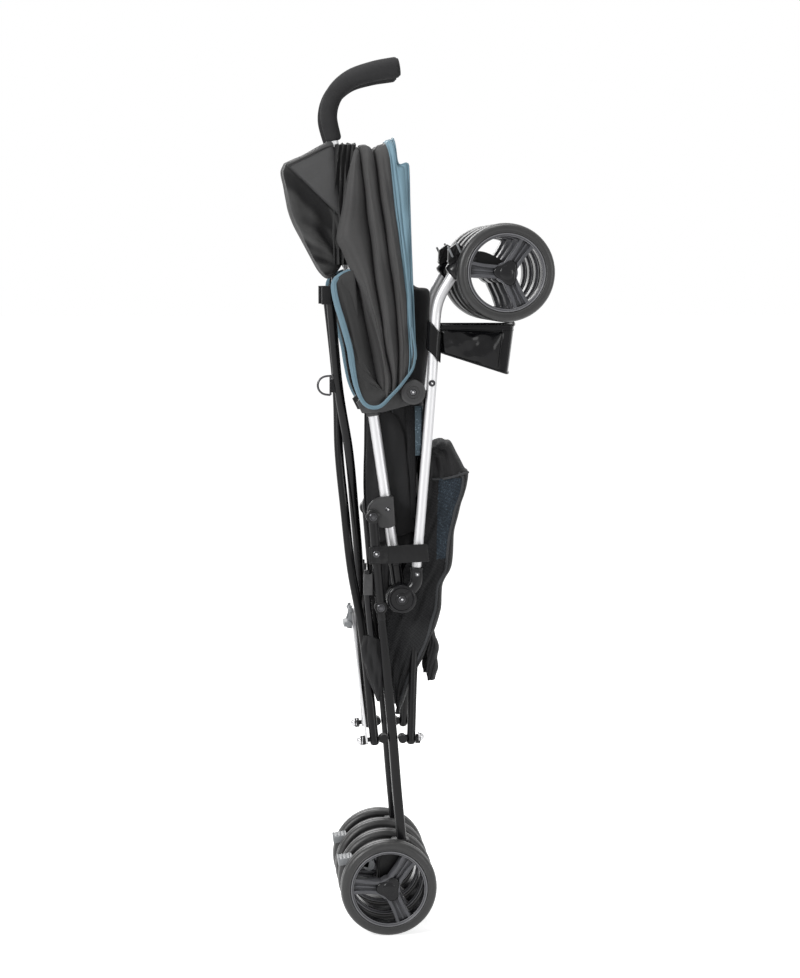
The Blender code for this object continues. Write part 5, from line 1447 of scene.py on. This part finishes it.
class STROLLER_OT_basket(StrollerOperator):
    """Build the basket of net and cloth under the seat"""
    bl_idname = "stroller.basket"
    bl_label = "Basket"

    def execute(self, context):
        def folds(row, column):
            crumple = np.interp(row, [0, 0.12, 0.2, 1], [1, 1, 0.35, 0.5])
            return crumple * wave((0.0018, row * 3 + column * 1.5, 11.0, 0.5),
                                  (0.0013, row * 7 - column * 2, 7.0, 1.0), (0.0008, column * 5 + row * 6, 7.0, 2.0))

        points = trough(BASKET_REAR, BASKET_FRONT, 0.037, 0.01, 180, 44, folds, 0.0008)
        data = grid(points)
        y, z = points[:-1, :-1, 1].ravel(), points[:-1, :-1, 2].ravel()
        window = (y < -0.027 + (0.584 - z) * 0.02) & (y > -0.06 + (0.584 - z) * 0.22) & (z > 0.48)
        kinds = np.where(z > 0.584, 0, np.where(window, 2, 1))
        basket = cloth_piece("basket", data, ("seat_cloth", "basket_cloth", "basket_print"), None, 0.001, kinds)
        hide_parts("right_basket_half", "left_basket_half")
        binding = [bar(points[30:-2, index], 0.0017, 12, 0.0005, rows=170) for index in (42, -43)]
        for way in (-1, 1):
            binding.append(bar(side_path(way, 0.0385, spline(NET_EDGE, 40)), 0.0015, 10, 0.0005, rows=40))
        trim = piece("basket_binding", binding, "binding_gray")
        flap = self.flap()
        for obj in (basket, trim, flap):
            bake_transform(obj)
        return {'FINISHED'}

    @staticmethod
    def flap():
        """Loose cloth flap at the foot of the basket."""
        front = [(-.0219, .3958), (-.0246, .3852), (-.0285, .376), (-.0311, .3642), (-.0311, .3431), (-.0286, .3195)]
        rear = [(-.019, .393), (-.0172, .3723), (-.0153, .3592), (-.014, .3461), (-.014, .333), (-.015, .319)]

        def folds(row, column):
            return wave((0.0012, row * 3 + column * 2, 6.0, 0.0))

        points = trough(rear, front, 0.029, 0.006, 40, 14, folds)
        flap = cloth_piece("basket_flap", grid(points), ("seat_cloth",))
        return flap


class STROLLER_OT_footrest(StrollerOperator):
    """Build the vinyl footrest between the front legs, and its sleeves"""
    bl_idname = "stroller.footrest"
    bl_label = "Footrest"

    def execute(self, context):
        rear = [(-.029, .779), (-.029, .769), (-.03, .756), (-.031, .745)]
        front = [(-.129, .779), (-.1262, .756), (-.1235, .735), (-.121, .716)]

        def folds(row, column):
            high = np.clip((row - 0.14) / 0.86, 0, 1)
            wide = np.clip(column / 0.9, 0, 1)
            puff = (1 - np.abs(2 * high - 1) ** 3.0) * (1 - np.abs(2 * wide - 1) ** 3.5)
            return 0.0072 * np.sqrt(np.clip(puff, 0, 1)) - 0.0012 + puff * wave(
                (0.0016, row * 2 + column * 3, 4.0, 0.4), (0.001, column * 7 - row * 2, 3.0, 1.0))

        points = trough(rear, front, 0.05, 0.01, 44, 46, folds)
        points[..., 2] += np.interp(np.abs(points[..., 0]), [0.0, 0.05], [0.004, 0.0])
        rest = cloth_piece("footrest_sheet", grid(points), ("footrest_vinyl",), None, 0.0016)
        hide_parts("right_footrest_half", "left_footrest_half")
        seams = [bar(points[5, 2:-2] * (1.006, 1, 1), 0.0005, 8, 0.0002, rows=120)]
        for index in (0, -1):
            seams.append(bar(points[index, 1:-1], 0.0016, 10, 0.0005, rows=120))
        seams += [bar(points[3:-3, column] * (1.008, 1, 1), 0.0006, 8, 0.0002, rows=40) for column in (40, -41)]
        trim = piece("footrest_seams", seams, "footrest_vinyl")
        for obj in (rest, trim):
            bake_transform(obj)
        for side, word in SIDES:
            route = spline(side_path(side, FRONT_LEG_X, LEG_PATH[:5]), 300)
            inside = route[(route[:, 2] > 0.7395) & (route[:, 2] < 0.779)]
            sleeve = bar(inside, LEG_R + 0.003, 36, 0.0014, rows=30)
            sleeve[0][:, 2] += sleeve[0][:, 1] - inside[:, 1].mean()
            piece(word + "_footrest_sleeve", sleeve, "footrest_vinyl", word + "_front_leg")
        return {'FINISHED'}


class STROLLER_OT_fittings(StrollerOperator):
    """Build the webbing tabs, the wire ring and the cloth loops"""
    bl_idname = "stroller.fittings"
    bl_label = "Fittings"

    def execute(self, context):
        for side, word in SIDES:
            body = word + "_frame"
            block = [(.1099, .8054), (.1214, .806), (.1214, .829), (.1099, .8293)]
            piece(word + "_webbing", slab(block, side, 0.032, 0.0455, 0.0012), "webbing",
                  ("left" if side < 0 else "right") + "_rear_cross")
            liner = trough([(.002, .676), (.0015, .648), (.001, .612)],
                           [(-.0085, .676), (-.008, .648), (-.006, .612)], 0.0035, 0.002, 20, 8,
                           lambda row, column: 0.0004 * np.sin(row * 9))
            liner[..., 0] += side * 0.025
            self.loop(side, word)
            strip_piece = cloth_piece(word + "_liner", grid(liner), ("liner_print",), body, 0.0008)
        tab = [(.096, .6928), (.1103, .6935), (.1103, .71), (.096, .7106)]
        piece("ring_tab", slab(tab, -1, RING_X - 0.0017, RING_X + 0.0017, 0.001), "webbing", "left_rear_cross")
        bow = np.vstack([[(.1095, .69)], arc((.114, .7024), 0.0118, -80, 80, 24), [(.1095, .7148)]])
        ring = side_path(-1, RING_X, np.vstack([bow, bow[:1]]))
        piece("wire_ring", bar(ring, 0.0014, 14, 0.0004, rows=90), "black_steel", "left_rear_cross")
        return {'FINISHED'}

    @staticmethod
    def loop(side, word):
        """Bent tube with its clip behind a rear leg, and the cloth sleeve at its foot."""
        body, x = word + "_rear_leg", 0.0525
        route = side_path(side, x, spline(LOOP, 60))
        piece(word + "_loop_tube", bar(route, 0.0042, 28, 0.0008, rows=60), "glossy_black", body)
        clip = [(.07, .4631), (.0585, .463), (.0585, .4358), (.07, .436)]
        piece(word + "_loop_clip", slab(clip, side, x - 0.0052, x + 0.0046, 0.001), "gray_plastic", body)
        z = np.linspace(0.38, 0.2985, 44)
        down = np.linspace(0, 1, 44)[:, None]
        rear = np.interp(-z, [-.38, -.3659, -.3476, -.3293, -.3109, -.2985],
                         [.069, .0728, .0702, .0651, .0574, .053])
        fore = np.interp(-z, [-.38, -.3681, -.355, -.3393, -.3185, -.2985],
                         [.05, .0457, .0431, .0418, .0444, .049])
        turn = np.linspace(0, math.tau, 56, endpoint=False)[None]
        fold = 1 + 0.07 * np.sin(turn * 5 + down * 7) + 0.05 * np.sin(turn * 9 - down * 11)
        middle_y, half_y = (rear + fore)[:, None] / 2, (rear - fore)[:, None] / 2
        half_x = np.interp(down, [0, 0.3, 1], [0.0062, 0.008, 0.006])
        centre_x = np.interp(down, [0, 1], [0.0505, 0.053])
        points = np.stack([side * (centre_x + half_x * np.cos(turn) * fold), middle_y + half_y * np.sin(turn) * fold,
                           z[:, None] + 0.0035 * np.sin(turn + 0.6) * (1 - down)], -1)
        # Painted shade: the sleeve darkens in the dips of its folds
        sleeve = cloth_piece(word + "_loop_sleeve", grid(points, (False, True)), ("seat_cloth",), body, 0.0008,
                             None, np.clip((1 - fold) / 0.12, 0, 0.8))


class STROLLER_PT_panel(bpy.types.Panel):
    """Lists the sizes, the colours and the builders."""
    bl_idname = "STROLLER_PT_panel"
    bl_label = "Folded stroller"
    bl_space_type = 'VIEW_3D'
    bl_region_type = 'UI'
    bl_category = "Stroller"

    def draw(self, context):
        for group in (context.scene.stroller_sizes, context.scene.stroller_colours):
            box = self.layout.box()
            for key in group.__annotations__:
                box.prop(group, key)
        for operator in OPERATORS:
            self.layout.operator(operator.bl_idname)


OPERATORS = (STROLLER_OT_finishes, STROLLER_OT_stage, STROLLER_OT_handles, STROLLER_OT_brackets,
             STROLLER_OT_front_legs, STROLLER_OT_casters, STROLLER_OT_wheels, STROLLER_OT_rear_legs,
             STROLLER_OT_linkage, STROLLER_OT_rivet_glints, STROLLER_OT_canopy, STROLLER_OT_pouch,
             STROLLER_OT_seat, STROLLER_OT_basket, STROLLER_OT_footrest, STROLLER_OT_fittings)
CLASSES = (StrollerSizes, StrollerColours) + OPERATORS + (STROLLER_PT_panel,)


def register():
    """Register the sizes, the colours, the builders and the panel."""
    for cls in CLASSES:
        bpy.utils.register_class(cls)
    bpy.types.Scene.stroller_sizes = PointerProperty(type=StrollerSizes)
    bpy.types.Scene.stroller_colours = PointerProperty(type=StrollerColours)


def unregister():
    """Remove what register added."""
    del bpy.types.Scene.stroller_colours
    del bpy.types.Scene.stroller_sizes
    for cls in reversed(CLASSES):
        bpy.utils.unregister_class(cls)


def main():
    register()
    for operator in OPERATORS:
        getattr(bpy.ops.stroller, operator.bl_idname.split(".")[1])()


if __name__ == "__main__":
    main()
